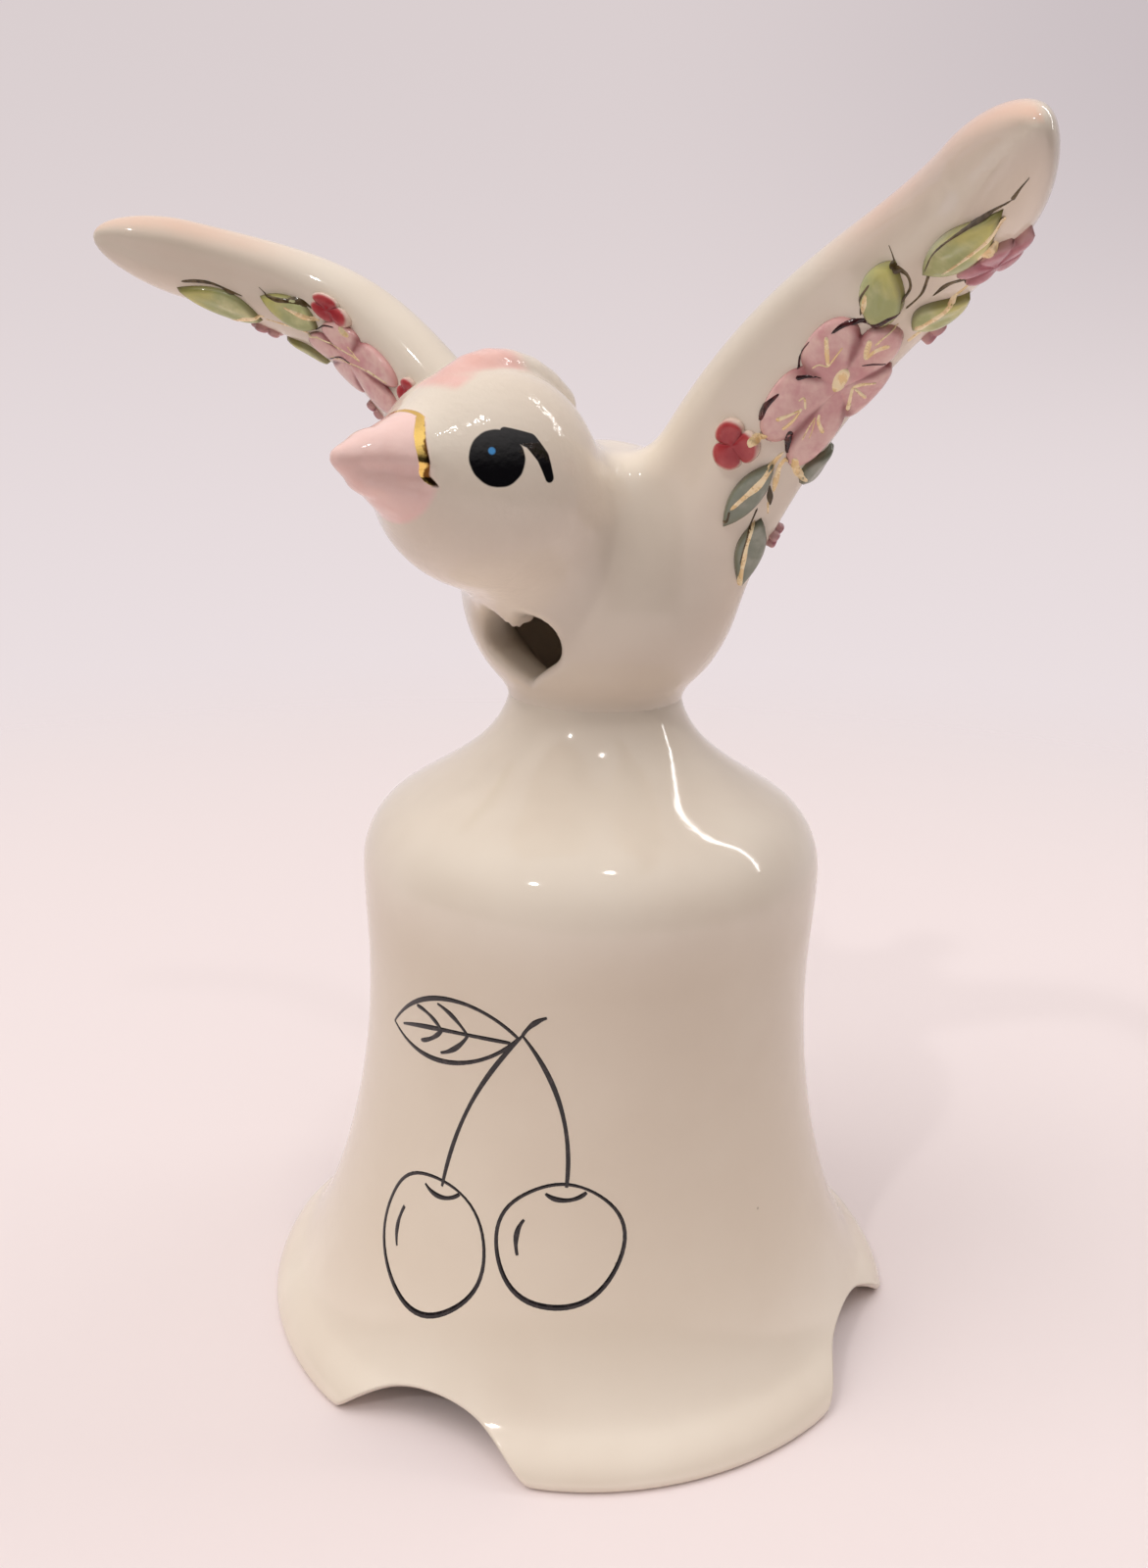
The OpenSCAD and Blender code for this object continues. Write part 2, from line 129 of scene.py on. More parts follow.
class Socket:
    """One socket of a material, which takes part in Python expressions."""

    def __init__(self, tree, out=None):
        self.tree, self.out = tree, out

    def node(self, kind, settings, sockets, out=0):
        """Adds a node with its settings, then its values or links, and gives one of its outputs."""
        made = self.tree.nodes.new("ShaderNode" + kind)
        for name, value in settings.items():
            setattr(made, name, value)
        for name, value in sockets.items():
            if isinstance(value, Socket):
                self.tree.links.new(value.out, made.inputs[name])
            else:
                made.inputs[name].default_value = value
        return Socket(self.tree, made.outputs[out]) if len(made.outputs) else None

    def also(self, out):
        return Socket(self.tree, self.out.node.outputs[out])

    def math(self, operation, *values):
        return self.node("Math", {"operation": operation}, dict(enumerate(values)))

    def __add__(self, other):
        return self.math("ADD", self, other)

    def __sub__(self, other):
        return self.math("SUBTRACT", self, other)

    def __rsub__(self, other):
        return self.math("SUBTRACT", other, self)

    def __mul__(self, other):
        return self.math("MULTIPLY", self, other)

    def __truediv__(self, other):
        return self.math("DIVIDE", self, other)

    def __abs__(self):
        return self.math("ABSOLUTE", self)

    __radd__, __rmul__ = __add__, __mul__

    def root(self):
        return self.math("SQRT", self)

    def high(self, other):
        return self.math("MAXIMUM", self, other)

    def low(self, other):
        return self.math("MINIMUM", self, other)

    def ease(self, start, end):
        """Goes smoothly from 0 at start to 1 at end."""
        return self.node("MapRange", {"interpolation_type": "SMOOTHSTEP"},
                         {"Value": self, "From Min": start, "From Max": end})

    def part(self, axis):
        return self.node("SeparateXYZ", {}, {0: self}, axis)

    def away(self, spot):
        """Distance of a place from one spot."""
        return self.node("VectorMath", {"operation": "DISTANCE"}, {0: self, 1: tuple(spot)}, "Value")

    def along(self, way, start=(0.0, 0.0, 0.0)):
        """How far a place lies along one way from a start."""
        run = self.node("VectorMath", {"operation": "DOT_PRODUCT"}, {0: self, 1: tuple(way)}, "Value")
        return run - float(np.dot(way, start))

    def mix(self, first, second, share):
        """Two colours mixed, each a socket or a colour as it is seen."""
        first, second = (c if isinstance(c, Socket) else tint(*c) for c in (first, second))
        return self.node("Mix", {"data_type": "RGBA"}, {0: share, 6: first, 7: second}, 2)

    def noise(self, place, scale, detail=2.0):
        return self.node("TexNoise", {}, {"Vector": place, "Scale": scale, "Detail": detail})

    def mark(self, name, out="Fac"):
        return self.node("Attribute", {"attribute_name": name}, {}, out)


def tint(red, green, blue):
    """A colour as it is seen, in parts of 255, for a socket."""
    return tuple((c / 255 / 12.92 if c < 10 else ((c / 255 + 0.055) / 1.055) ** 2.4)
                 for c in (red, green, blue)) + (1.0,)


def fresh_nodes(finish):
    """Clears the nodes of a material or the world, for new ones."""
    finish.use_nodes = True
    finish.node_tree.nodes.clear()
    return Socket(finish.node_tree)


def glaze(name, paint, peel=0.008, grain=0.9):
    """A glossy glaze over what paint lays down: its colour, its roughness and its share of metal."""
    material = bpy.data.materials.new(name)
    shade = fresh_nodes(material)
    place = shade.node("VectorMath", {"operation": "SCALE"},
                       {0: shade.node("TexCoord", {}, {}, "Object"), "Scale": 1 / MM})
    colour, rough, metal = paint(shade, place)
    height = shade.noise(place, wave_scale, 1.0) * wave_h + shade.noise(place, grain, 2.0) * peel
    bump = shade.node("Bump", {}, {"Strength": 1.0, "Distance": MM, "Height": height})
    surface = shade.node("BsdfPrincipled", {}, {"Base Color": colour, "Roughness": rough, "Metallic": metal,
                                                "IOR": glaze_ior, "Normal": bump})
    shade.node("OutputMaterial", {}, {"Surface": surface})
    return material


def cream(shade, place):
    """Cream glaze over white clay, a little cloudy, with a few dark specks of iron in it."""
    cloud = shade.noise(place, 0.06, 3.0)
    colour = shade.mix((234, 221, 204), (241, 230, 214), cloud.ease(0.3, 0.7))
    cell = shade.node("TexVoronoi", {}, {"Vector": place, "Scale": 0.15}, "Distance")
    chance = cell.also("Color").part("X")
    speck = cell.ease(0.03, 0.018) * chance.ease(0.8, 0.82)
    return shade.mix(colour, (120, 98, 82), speck * 0.75)


def smooth_rough(shade, place):
    return shade.noise(place, 0.25, 2.0) * 0.05 + 0.05


def bell_paint(shade, place):
    """Painted shade: the cream is a little deeper on the bell's wall, from above the foot up to the shoulder, where
    less light falls.
    """
    painted_wall_shade = place.part("Z").ease(54.0, 46.0) * place.part("Z").ease(4.0, 16.0)
    return shade.mix(cream(shade, place), (220, 204, 182), painted_wall_shade * 0.5), smooth_rough(shade, place), 0.0


bell_rows = []
foot_lift, bore_lift = arch_lift(bell_r(arch_lift(rim_r))), arch_lift(bore_r(arch_lift(rim_r - bell_wall)))
bell_run = np.concatenate([[0], np.cumsum(np.linalg.norm(np.diff(bell_line, axis=0), axis=1))])
bell_heights = np.interp(np.linspace(0, bell_run[-1], bell_levels), bell_run, bell_line[:, 1])
bell_heights = bell_heights[(bell_heights > foot_round) & (bell_heights < neck_z - neck_round)]
bell_heights = np.concatenate([[foot_round], bell_heights, [neck_z - neck_round]])
for z in bell_heights:
    rise = z + foot_lift * max(0, 1 - z / arch_reach)
    bell_rows.append((bell_r(rise), rise))
for bend in np.linspace(0, np.pi / 2, 4)[1:]:
    bell_rows.append((neck_r - neck_round * (1 - math.cos(bend)), neck_z - neck_round * (1 - math.sin(bend))))
bell_rows.append((neck_r - bell_wall, neck_z))
for z in bell_heights[::-2]:
    rise = z + bore_lift * max(0, 1 - z / arch_reach)
    bell_rows.append((bore_r(rise), rise))
foot_out, foot_in = bell_r(foot_lift + foot_round), bore_r(bore_lift + foot_round)
for bend in np.linspace(0, np.pi / 2, 5)[1:]:
    r = foot_in + foot_round * (1 - math.cos(bend))
    bell_rows.append((r, arch_lift(r) + foot_round * (1 - math.sin(bend))))
for share in (0.33, 0.67):
    r = foot_in + foot_round + share * (foot_out - foot_in - 2 * foot_round)
    bell_rows.append((r, arch_lift(r)))
for bend in np.linspace(np.pi / 2, 0, 5)[:-1]:
    r = foot_out - foot_round * (1 - math.cos(bend))
    bell_rows.append((r, arch_lift(r) + foot_round * (1 - math.sin(bend))))
bell_points = np.concatenate([np.stack([r * np.sin(bell_turns), -r * np.cos(bell_turns), z + 0 * bell_turns],
                                       axis=1) for r, z in bell_rows])
bell = make_mesh("bell", bell_points, tube_faces(len(bell_rows), len(bell_turns), True),
                 glaze("bell_glaze", bell_paint))
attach(bell, "root")
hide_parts("bell_base")

# Drawing on the bell
# A pair of cherries on their stems, drawn freehand in black line on the glaze and fired on.
# Each line is a low bead of enamel that is thick in the middle and fades out at its ends.
drawing_turn, drawing_z = math.radians(17), 27.0
ink_w, ink_h, ink_sink = 0.3, 0.04, 0.03
bead_section = ((1, -ink_sink), (0.6, ink_h), (-0.6, ink_h), (-1, -ink_sink))


def ring_of(x, y, r, start, end):
    """Part of a slightly uneven circle, as a line of points."""
    a = np.radians(np.linspace(start, end, 60))
    r = r * (1 + 0.03 * np.sin(2 * a + x) + 0.012 * np.sin(5 * a + y))
    return np.stack([x + r * np.cos(a), y + r * np.sin(a)], axis=1)


ink_lines = [ring_of(-6.6, -9.2, 6.7, 62, 428), ring_of(7.4, -6.2, 6.2, 74, 440),
             ring_of(-6.6, -9.2, 4.6, 150, 205), ring_of(7.4, -6.2, 4.2, 150, 200)]
ink_lines += [curve(run, np.linspace(0, 1, 40)) for run in (
    [(-5.6, -3.1), (-4.6, 4.0), (-1.6, 9.6), (2.6, 14.8)],
    [(7.6, -0.4), (7.8, 5.2), (6.2, 10.6), (2.6, 14.8)],
    [(2.6, 14.8), (3.2, 15.9), (4.0, 16.6), (5.0, 17.0)],
    [(-7.8, -3.6), (-6.6, -4.6), (-4.6, -4.4), (-3.4, -3.2)],
    [(5.6, -1.2), (6.6, -2.0), (8.6, -1.9), (9.6, -0.8)],
    [(2.2, 14.4), (-2.6, 18.6), (-9.4, 17.4), (-14.2, 11.4)],
    [(2.2, 14.4), (-1.4, 10.2), (-8.8, 8.0), (-14.2, 11.4)],
    [(1.4, 13.8), (-3.6, 13.8), (-8.4, 13.2), (-12.4, 11.8)],
    [(-3.4, 13.7), (-4.4, 14.8), (-5.6, 15.6), (-7.0, 15.9)],
    [(-6.6, 13.3), (-7.6, 14.2), (-8.8, 14.7), (-10.0, 14.7)],
    [(-3.2, 13.6), (-4.0, 12.2), (-5.2, 11.2), (-6.6, 10.7)],
    [(-6.4, 13.2), (-7.2, 12.2), (-8.2, 11.5), (-9.4, 11.1)])]


def on_bell(flat, lift):
    """Places on the bell for points of the drawing, a little off the glaze."""
    r = bell_r(drawing_z + flat[:, 1])
    turn = drawing_turn + flat[:, 0] / r
    return np.stack([(r + lift) * np.sin(turn), -(r + lift) * np.cos(turn), drawing_z + flat[:, 1]], axis=1)


def unit(v):
    return v / np.linalg.norm(v, axis=-1, keepdims=True)


def bead_faces(lengths):
    """Faces of a row of beads, each laid down as four lines of points side by side."""
    faces, base = [], 0
    for n in lengths:
        j = np.arange(n - 1) + base
        for k in range(3):
            faces += np.stack([j + k * n, j + (k + 1) * n, j + 1 + (k + 1) * n, j + 1 + k * n], axis=1).tolist()
        base += 4 * n
    return faces


ink_points = []
for line in ink_lines:
    way = unit(np.gradient(line, axis=0))
    aside = np.stack([-way[:, 1], way[:, 0]], axis=1)
    share = np.linspace(0, 1, len(line))
    width = ink_w * (0.55 + 0.45 * np.sin(np.pi * share) ** 0.5) * (1 + 0.16 * np.sin(9 * share + line[0, 0]))
    ink_points += [on_bell(line + k * width[:, None] * aside, h) for k, h in bead_section]


def ink_paint(shade, place):
    return shade.mix((26, 22, 24), (62, 54, 54), shade.noise(place, 1.5).ease(0.45, 0.8)), 0.16, 0.0


drawing = make_mesh("bell_drawing", np.concatenate(ink_points), bead_faces(map(len, ink_lines)),
                    glaze("ink", ink_paint))
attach(drawing, "root")

# Bird's body
# The body is a hollow cast ball that stands on the bell's neck, open below so that steam rises into it.
# A heart is cut through its breast for the steam to leave by, and the glaze has rounded the cut edge.
body_r, body_wall, collar_l = 14.3, 4.4, 0.9
body_at = np.array([0, 0, neck_z + collar_l + math.sqrt(body_r ** 2 - neck_r ** 2)])
heart_w, heart_h, heart_turn = 10.0, 7.2, math.radians(-1.5)
heart_drop, heart_slope = math.radians(23), math.radians(4)
heart_side = np.array([math.cos(heart_turn), math.sin(heart_turn), 0])
heart_front = np.array([math.sin(heart_turn), -math.cos(heart_turn), 0])
heart_at = body_at + body_r * (math.cos(heart_drop) * heart_front + (0, 0, -math.sin(heart_drop)))
heart_way = math.cos(heart_slope) * heart_front + (0, 0, -math.sin(heart_slope))
heart_up = math.sin(heart_slope) * heart_front + (0, 0, math.cos(heart_slope))
heart_round, heart_cut, collar_seam, pipe_seam = 1.5, 0.55, 1.2, 1.5


def join(a, b, soft):
    """Two forms luted together, with the seam between them filled to a soft hollow."""
    h = np.maximum(soft - np.abs(a - b), 0) / soft
    return np.minimum(a, b) - h * h * soft / 4


def carve(a, b, soft):
    """A form with another cut out of it, the cut edge rounded."""
    return -join(-a, b, soft)


def body_form(p):
    ball = np.linalg.norm(p - body_at, axis=1) - body_r
    collar = np.maximum(np.hypot(p[:, 0], p[:, 1]) - neck_r, p[:, 2] - body_at[2])
    return join(ball, collar, collar_seam)


def body_hollow(p):
    ball = np.linalg.norm(p - body_at, axis=1) - (body_r - body_wall)
    pipe = np.maximum(np.hypot(p[:, 0], p[:, 1]) - (neck_r - bell_wall), p[:, 2] - body_at[2])
    return join(ball, pipe, pipe_seam)


def heart_outline():
    """Two round lobes that run down to a point."""
    lobe = heart_w * 0.26
    side, top = heart_w / 2 - lobe, heart_h / 2 - lobe
    rise = top + heart_h / 2
    touch = math.atan2(rise, side) - math.asin(lobe / math.hypot(side, rise)) - math.pi / 2
    cleft = math.pi - math.acos(side / lobe)
    a = np.linspace(touch, cleft, 24)
    right = np.stack([side + lobe * np.cos(a), top + lobe * np.sin(a)], axis=1)
    return np.vstack([[(0, -heart_h / 2)], right, (right * (-1, 1))[-2::-1]])


def heart_form(p):
    """Distance from the heart-shaped cut, which goes through the breast wall only."""
    x, y, depth = (p - heart_at) @ heart_side, (p - heart_at) @ heart_up, (p - heart_at) @ heart_way
    far = np.full(len(p), np.inf)
    inside = np.zeros(len(p), bool)
    outline = heart_outline()
    for (ax, ay), (bx, by) in zip(outline, np.roll(outline, -1, axis=0)):
        run = np.clip(((x - ax) * (bx - ax) + (y - ay) * (by - ay)) / ((bx - ax) ** 2 + (by - ay) ** 2), 0, 1)
        far = np.minimum(far, np.hypot(x - ax - run * (bx - ax), y - ay - run * (by - ay)))
        crossed = (ay > y) != (by > y)
        inside ^= crossed & (x < (bx - ax) * (y - ay) / (by - ay + 1e-12) + ax)
    return np.maximum(np.where(inside, -far, far), -body_r * heart_cut - depth)


def bird_paint(shade, place):
    """The bird's cream glaze, with the blush on the wings."""
    patch, base = shade.noise(place, 0.35, 2.0), cream(shade, place)
    share = (shade.mark("blush") * (0.5 + patch * 0.5)).low(0.75)
    return shade.mix(base, (245, 200, 176), share), smooth_rough(shade, place), 0.0


# Head, beak and crest
# The head is a cast egg that runs out into the beak, luted to the breast, with a low rolled crest on top.
# Beak and crest are sprayed pink, the eyes are painted in black, and a band of gold caps the beak's root.
head_tilt = math.radians(7)
head_r, head_at = 10.2, body_at + (0, -16.9, 10.6)
head_way = np.array([0, -math.cos(head_tilt), math.sin(head_tilt)])
head_up = np.array([0, math.sin(head_tilt), math.cos(head_tilt)])
face_steps = ((3.0, 8.6), (10.4, 4.35))
beak_steps = ((11.2, 3.95), (14.6, 2.7), (17.95, 0.95))
mouth_steps, mouth_drop = ((12.3, 3.75, 0.4), (15.0, 2.65, 0.34), (16.8, 1.7, 0.08)), 0.9
face_seam, tip_seam = 2.0, 0.3
crest_r, crest_back, crest_front, crest_wide = 2.2, -53.0, 42.0, 1.3
knob_proud, proud_fall, knob_swell, swell_fall = 1.9, 1.1, 1.3, 0.48
crest_fade, knob_fade, brow_fade, brow_low, brow_top = (0.4, 0.05), (-14, 0), (3.2, 2.2), (46, 38), (20, 36)
eye_at, eye_r = np.array([7.58, -24.26, 95.12]), 2.42
# A painted highlight: a small pale blue dot in each eye, where a glint of the lamps would shine.
painted_glint_at, painted_glint_r, dab_edge = np.array([7.19, -24.54, 95.67]), 0.3, 0.08
lash_spots = np.array([(7.5, -23.2, 97.2), (8.69, -21.33, 96.5), (9.38, -20.52, 95.22), (9.77, -20.07, 93.55)])
lash_half = (0.5, 0.72, 0.66, 0.46)
band_run, band_w, band_edge, brush_wobble = 11.15, 0.85, 0.06, 0.24
band_bow, bow_lift, bow_reach = 1.0, 1.4, 2.8


def tapered(p, start, end, r0, r1):
    """Distance from a rounded cone between two balls."""
    length = np.linalg.norm(end - start)
    q = p - start
    s = q @ ((end - start) / length)
    out = np.sqrt(np.maximum((q * q).sum(axis=1) - s * s, 0))
    b = (r0 - r1) / length
    a = math.sqrt(1 - b * b)
    k = a * s - b * out
    return np.where(k < 0, np.hypot(out, s) - r0,
                    np.where(k > a * length, np.hypot(out, s - length) - r1, out * a + s * b - r0))


def head_form(p):
    skull = np.linalg.norm(p - head_at, axis=1) - head_r
    (s0, r0), (s1, r1) = face_steps
    return join(skull, tapered(p, head_at + s0 * head_way, head_at + s1 * head_way, r0, r1), face_seam)


def beak_form(p):
    (s0, r0), (s1, r1), (s2, r2) = beak_steps
    a, b, c = (head_at + s * head_way for s in (s0, s1, s2))
    return join(tapered(p, a, b, r0, r1), tapered(p, b, c, r1, r2), tip_seam)


def chain(p, spots):
    """Distance from a row of rounded cones through spots, each with its half thickness."""
    return np.min([tapered(p, a, b, r0, r1) for (a, r0), (b, r1) in zip(spots, spots[1:])], axis=0)


def mouth_form(p):
    """The mouth, a soft groove along each side of the beak."""
    q = np.abs(p) * (1, 0, 0) + p * (0, 1, 1)
    return chain(q, [(head_at + s * head_way - mouth_drop * head_up + (x, 0, 0), r) for s, x, r in mouth_steps])


def crest_spot(t):
    """Middle and half thickness of the crest, from the knob at the back to the forehead."""
    turn = math.radians(crest_back + (crest_front - crest_back) * t)
    run = head_r + knob_proud - proud_fall * t - crest_r
    spot = head_at + run * np.array([0, -math.sin(turn), math.cos(turn)])
    return spot, crest_r * (knob_swell - swell_fall * t)


def crest_form(p):
    return chain(p / (crest_wide, 1, 1), [crest_spot(t) for t in np.linspace(0.06, 0.94, 8)])


def eased(x, start, end):
    t = np.clip((x - start) / (end - start), 0, 1)
    return t * t * (3 - 2 * t)


def pink_share(p, crest):
    """Where the pink is sprayed: all of the beak, and the crest in front of its knob."""
    turn = np.degrees(np.arctan2(head_at[1] - p[:, 1], p[:, 2] - head_at[2]))
    roll = eased(crest, *crest_fade) * eased(turn, *knob_fade) * (p[:, 2] > head_at[2])
    brow = eased(np.abs(p[:, 0]), *brow_fade) * eased(turn, *brow_low) * eased(turn, *brow_top)
    bow = band_bow * np.maximum(1 - (((p - head_at) @ head_up - bow_lift) / bow_reach) ** 2, 0)
    edge = (p - head_at) @ head_way - band_run - bow
    return np.maximum(eased(edge, -0.2, 0.4), np.maximum(roll, brow))


def brushed(place, spots, halves):
    """A brush stroke through spots, as wide as the halves say at each, with a crisp edge."""
    mask = None
    for a, b, w0, w1 in zip(spots, spots[1:], halves, halves[1:]):
        way, length = b - a, float((b - a) @ (b - a))
        run = (place.along(way, a) / length).high(0.0).low(1.0)
        far = place.away(a)
        gap = (far * far - run * place.along(way, a) * 2 + run * run * length).high(0.0).root()
        dab = (gap - w0 - run * (w1 - w0)).ease(band_edge, -band_edge)
        mask = dab if mask is None else mask.high(dab)
    return mask


def head_paint(shade, place):
    """The bird's glaze with the sprayed pink, the painted eyes, lashes and eye highlights, and the gold lustre band
    with its painted reflection.
    """
    patch = shade.noise(place, 0.4, 3.0)
    run, lift = place.along(head_way, head_at), place.along(head_up, head_at)
    deep = patch.ease(0.35, 0.7) * 0.3 + lift.ease(4.5, 8.5) * 0.7
    sprayed = shade.mix((251, 216, 208), (240, 190, 178), deep)
    colour = shade.mix(bird_paint(shade, place)[0], sprayed, shade.mark("pink"))
    near = shade.node("CombineXYZ", {}, {0: abs(place.part("X")), 1: place.part("Y"), 2: place.part("Z")})
    wobble = shade.noise(place, 0.7, 1.0) * brush_wobble - brush_wobble / 2
    eye = (near.away(eye_at) + wobble).ease(eye_r + dab_edge, eye_r - dab_edge)
    colour = shade.mix(colour, (10, 9, 13), eye.high(brushed(near, lash_spots, lash_half)))
    # Painted highlight: the pale blue dot in each eye stands for a reflected glint.
    painted_glint = near.away(painted_glint_at).ease(painted_glint_r + dab_edge, painted_glint_r - dab_edge)
    colour = shade.mix(colour, (70, 150, 215), painted_glint)
    aside = (lift - bow_lift) / bow_reach
    bulge = (1 - aside * aside).high(0.0)
    start = run - band_run - bulge * band_bow + wobble * 0.5
    stop = (bulge * 0.6 + 0.45) * band_w
    band = start.ease(-band_edge, band_edge) * (stop - start).ease(-band_edge, band_edge) * lift.ease(-1.6, -1.2)
    # Painted reflection: the gold darkens to brown in noisy streaks, more so lower down the band, for the dim room
    # mirrored in the lustre.
    streak = shade.noise(place, 1.3, 2.0) * 0.5 + (1 - start / stop) * 0.5 - lift * 0.08
    gold_and_painted_reflection = shade.mix((250, 212, 122), (112, 74, 34), streak.ease(0.44, 0.6))
    return shade.mix(colour, gold_and_painted_reflection, band), smooth_rough(shade, place) + band * 0.05, band


# Tail
# The tail is a short flat fan, pressed on its own and luted to the back of the body so that it tilts up.
# It widens and thins towards its rounded end, and has the body's plain cream glaze.
tail_start = body_at + body_r * np.array([0, 0.6, 0.1])
tail_l, tail_w, tail_t, tail_round, tail_end = 12.0, 12.0, 3.4, 0.8, 0.2
least_half = 0.05
tail_run = np.array([0, body_r * 0.4 + tail_l, tail_l * 0.42])


def oval(x, y, w, h):
    """Distance from an oval of two half widths, near enough close to its edge."""
    w, h = np.maximum(w, least_half), np.maximum(h, least_half)
    near = np.hypot(x / w, y / h)
    return near * (near - 1) / np.maximum(np.hypot(x / w ** 2, y / h ** 2), 1e-9)


def tail_form(p):
    length = np.linalg.norm(tail_run)
    way = tail_run / length
    up = np.array([0, -way[2], way[1]])
    s = (p - tail_start) @ way
    t = np.clip(s / length, 0, 1)
    fade = np.sqrt(np.clip(1 - np.maximum(0, (t - tail_round) / tail_end) ** 2, 0, 1))
    w = tail_w / 2 * curve([[0.95], [0.5], [0.8], [1.0]], t)[:, 0] * (0.45 + 0.55 * fade)
    h = tail_t / 2 * curve([[2.6], [1.5], [1.1], [1.0]], t)[:, 0] * fade
    flat = oval(p[:, 0], (p - tail_start) @ up, w, h)
    return np.hypot(np.maximum(flat, 0), s - t * length) + np.minimum(flat, 0)


# Wings
# Each wing is cast on its own, a long paddle with a soft hollow down its face, and luted to the shoulder.
# The outer part of the leading edge is sprayed with a breath of peach under the glaze.
wing_x, wing_y, wing_z = 50.4, 24.0, 33.84
root_w, tip_w, root_t, tip_t, wing_round, root_tuck, tuck_end = 15.4, 7.4, 8.8, 6.0, 0.9, 0.4, 0.14
wing_lean, wing_hollow, hollow_turn, hollow_reach = 0.22, 0.5, 108, 24
blush_turn, blush_run, blush_core = 172, 0.3, 6
blush_left, blush_right = ((0.5,), (60,), (1.0,)), ((0.62,), (38,), (0.7,))
wing_marks, least_bend = 49, 200.0
wing_fall = np.array([0.42, 0.32, -0.85])
wing_line = body_at + np.array([(body_r * 0.34, body_r * 0.25, -body_r * 0.21),
                                (wing_x * 0.534, -wing_y * 0.465, wing_z * 0.817),
                                (wing_x * 0.597, wing_y * 0.154, wing_z * 0.779), (wing_x, -wing_y, wing_z)])


def wing_way(u):
    """How fast, and which way, the wing's line runs."""
    a, b, c, d = wing_line
    return 3 * (1 - u) ** 2 * (b - a) + 6 * (1 - u) * u * (c - b) + 3 * u * u * (d - c)


def wing_cut(t):
    """The wing's middle and its section there: ways down and out of the face, and half width and thickness."""
    t = np.asarray(t, float)
    way = unit(wing_way(t[..., None]))
    fall = unit(wing_fall - (way @ wing_fall)[..., None] * way)
    fade = np.sqrt(np.clip(1 - np.maximum(0, (t - wing_round) / (1 - wing_round)) ** 2, 0, 1))
    tuck = 1 - root_tuck * np.maximum(0, 1 - t / tuck_end) ** 2
    return (curve(wing_line, t), way, fall, np.cross(fall, way), fade,
            (root_w + (tip_w - root_w) * t) / 2 * fade * tuck, (root_t + (tip_t - root_t) * t) / 2 * fade)


def wing_dip(fade, a):
    """Depth of the soft hollow down the wing's face."""
    return wing_hollow * fade * np.exp(-((a - hollow_turn) / hollow_reach) ** 2)


def wing_skin(t, a):
    """Point of the left wing's skin: t runs along it, a goes round it from the trailing edge over the face."""
    mid, way, fall, out, fade, w, h = wing_cut(t)
    turn = np.radians(a)
    rise = h * np.sin(turn) * (1 - wing_lean * np.cos(turn)) - wing_dip(fade, a)
    return mid + fall * (w * np.cos(turn))[..., None] + out * rise[..., None]


def wing_place(p):
    """Where points lie on the nearer wing: share of its length, angle round it, and distance from its skin."""
    q = np.concatenate([np.abs(p[:, :1]), p[:, 1:]], axis=1)
    marks = np.linspace(0, 1, wing_marks)
    spots = curve(wing_line, marks)
    t = marks[((q * q).sum(1)[:, None] - 2 * q @ spots.T + (spots * spots).sum(1)).argmin(axis=1)]
    a, b, c, d = wing_line
    for _ in range(3):
        u = t[:, None]
        gap = curve(wing_line, t) - q
        first = wing_way(u)
        second = 6 * (1 - u) * (c - 2 * b + a) + 6 * u * (d - 2 * c + b)
        bend = (first * first).sum(1) + (gap * second).sum(1)
        t = np.clip(t - (gap * first).sum(1) / np.maximum(bend, least_bend), 0, 1)
    mid, way, fall, out, fade, w, h = wing_cut(t)
    gap = q - mid
    x, y, end = (gap * fall).sum(1), (gap * out).sum(1), (gap * way).sum(1)
    w, h = np.maximum(w, least_half), np.maximum(h, least_half)
    flat = y / (1 - wing_lean * np.clip(x / w, -1, 1))
    angle = np.degrees(np.arctan2(flat / h, x / w))
    angle = np.where(angle < -90, angle + 360, angle)
    far = oval(x, flat + wing_dip(fade, angle), w, h)
    past_end = np.where((t > 0) & (t < 1), 0, np.abs(end))
    return t, angle, np.where(far > 0, np.hypot(far, end), far + past_end)


def blush_share(p):
    """Where the peach is sprayed on a wing: the outer part of its leading edge, wider on the left wing."""
    t, angle, far = wing_place(p)
    turn = np.abs((angle - blush_turn + 180) % 360 - 180)
    start, reach, full = np.where(p[:, 0] > 0, blush_left, blush_right)
    return full * eased(t, start, start + blush_run) * eased(turn, reach, blush_core) * (far < 1)


# Luting and firing
# The cast pieces are luted together with slip, and the seams are sponged into soft hollows before firing.
# So one skin runs over the whole bird, and it is parted here along the seams into the pieces it came from.
cast_pieces = ("bird_body", "bird_head", "beak", "crest", "tail", "left_wing", "right_wing")
head_seam, tail_seam, wing_seam, crest_seam, beak_seam = 6.5, 4.0, 5.0, 0.5, 0.7
mouth_round, bore_round, seam_round, seam_sink, seam_give = 1.5, 0.5, 0.15, 0.25, 0.3
head_peel, head_grain = 0.045, 1.2
skin_step, skin_shift, far_off, heart_near, hollow_depth = 0.42, 0.015, 9.0, 3, 1.5
beak_reach, low_room, high_room = 39.0, (4, 0, 2), (4, 3, 5)


def bird_parts(p):
    """Distances from each of the cast pieces."""
    wing = wing_place(p)[2]
    return np.stack([body_form(p), head_form(p), beak_form(p), crest_form(p), tail_form(p),
                     np.where(p[:, 0] > 0, wing, far_off), np.where(p[:, 0] > 0, far_off, wing)])


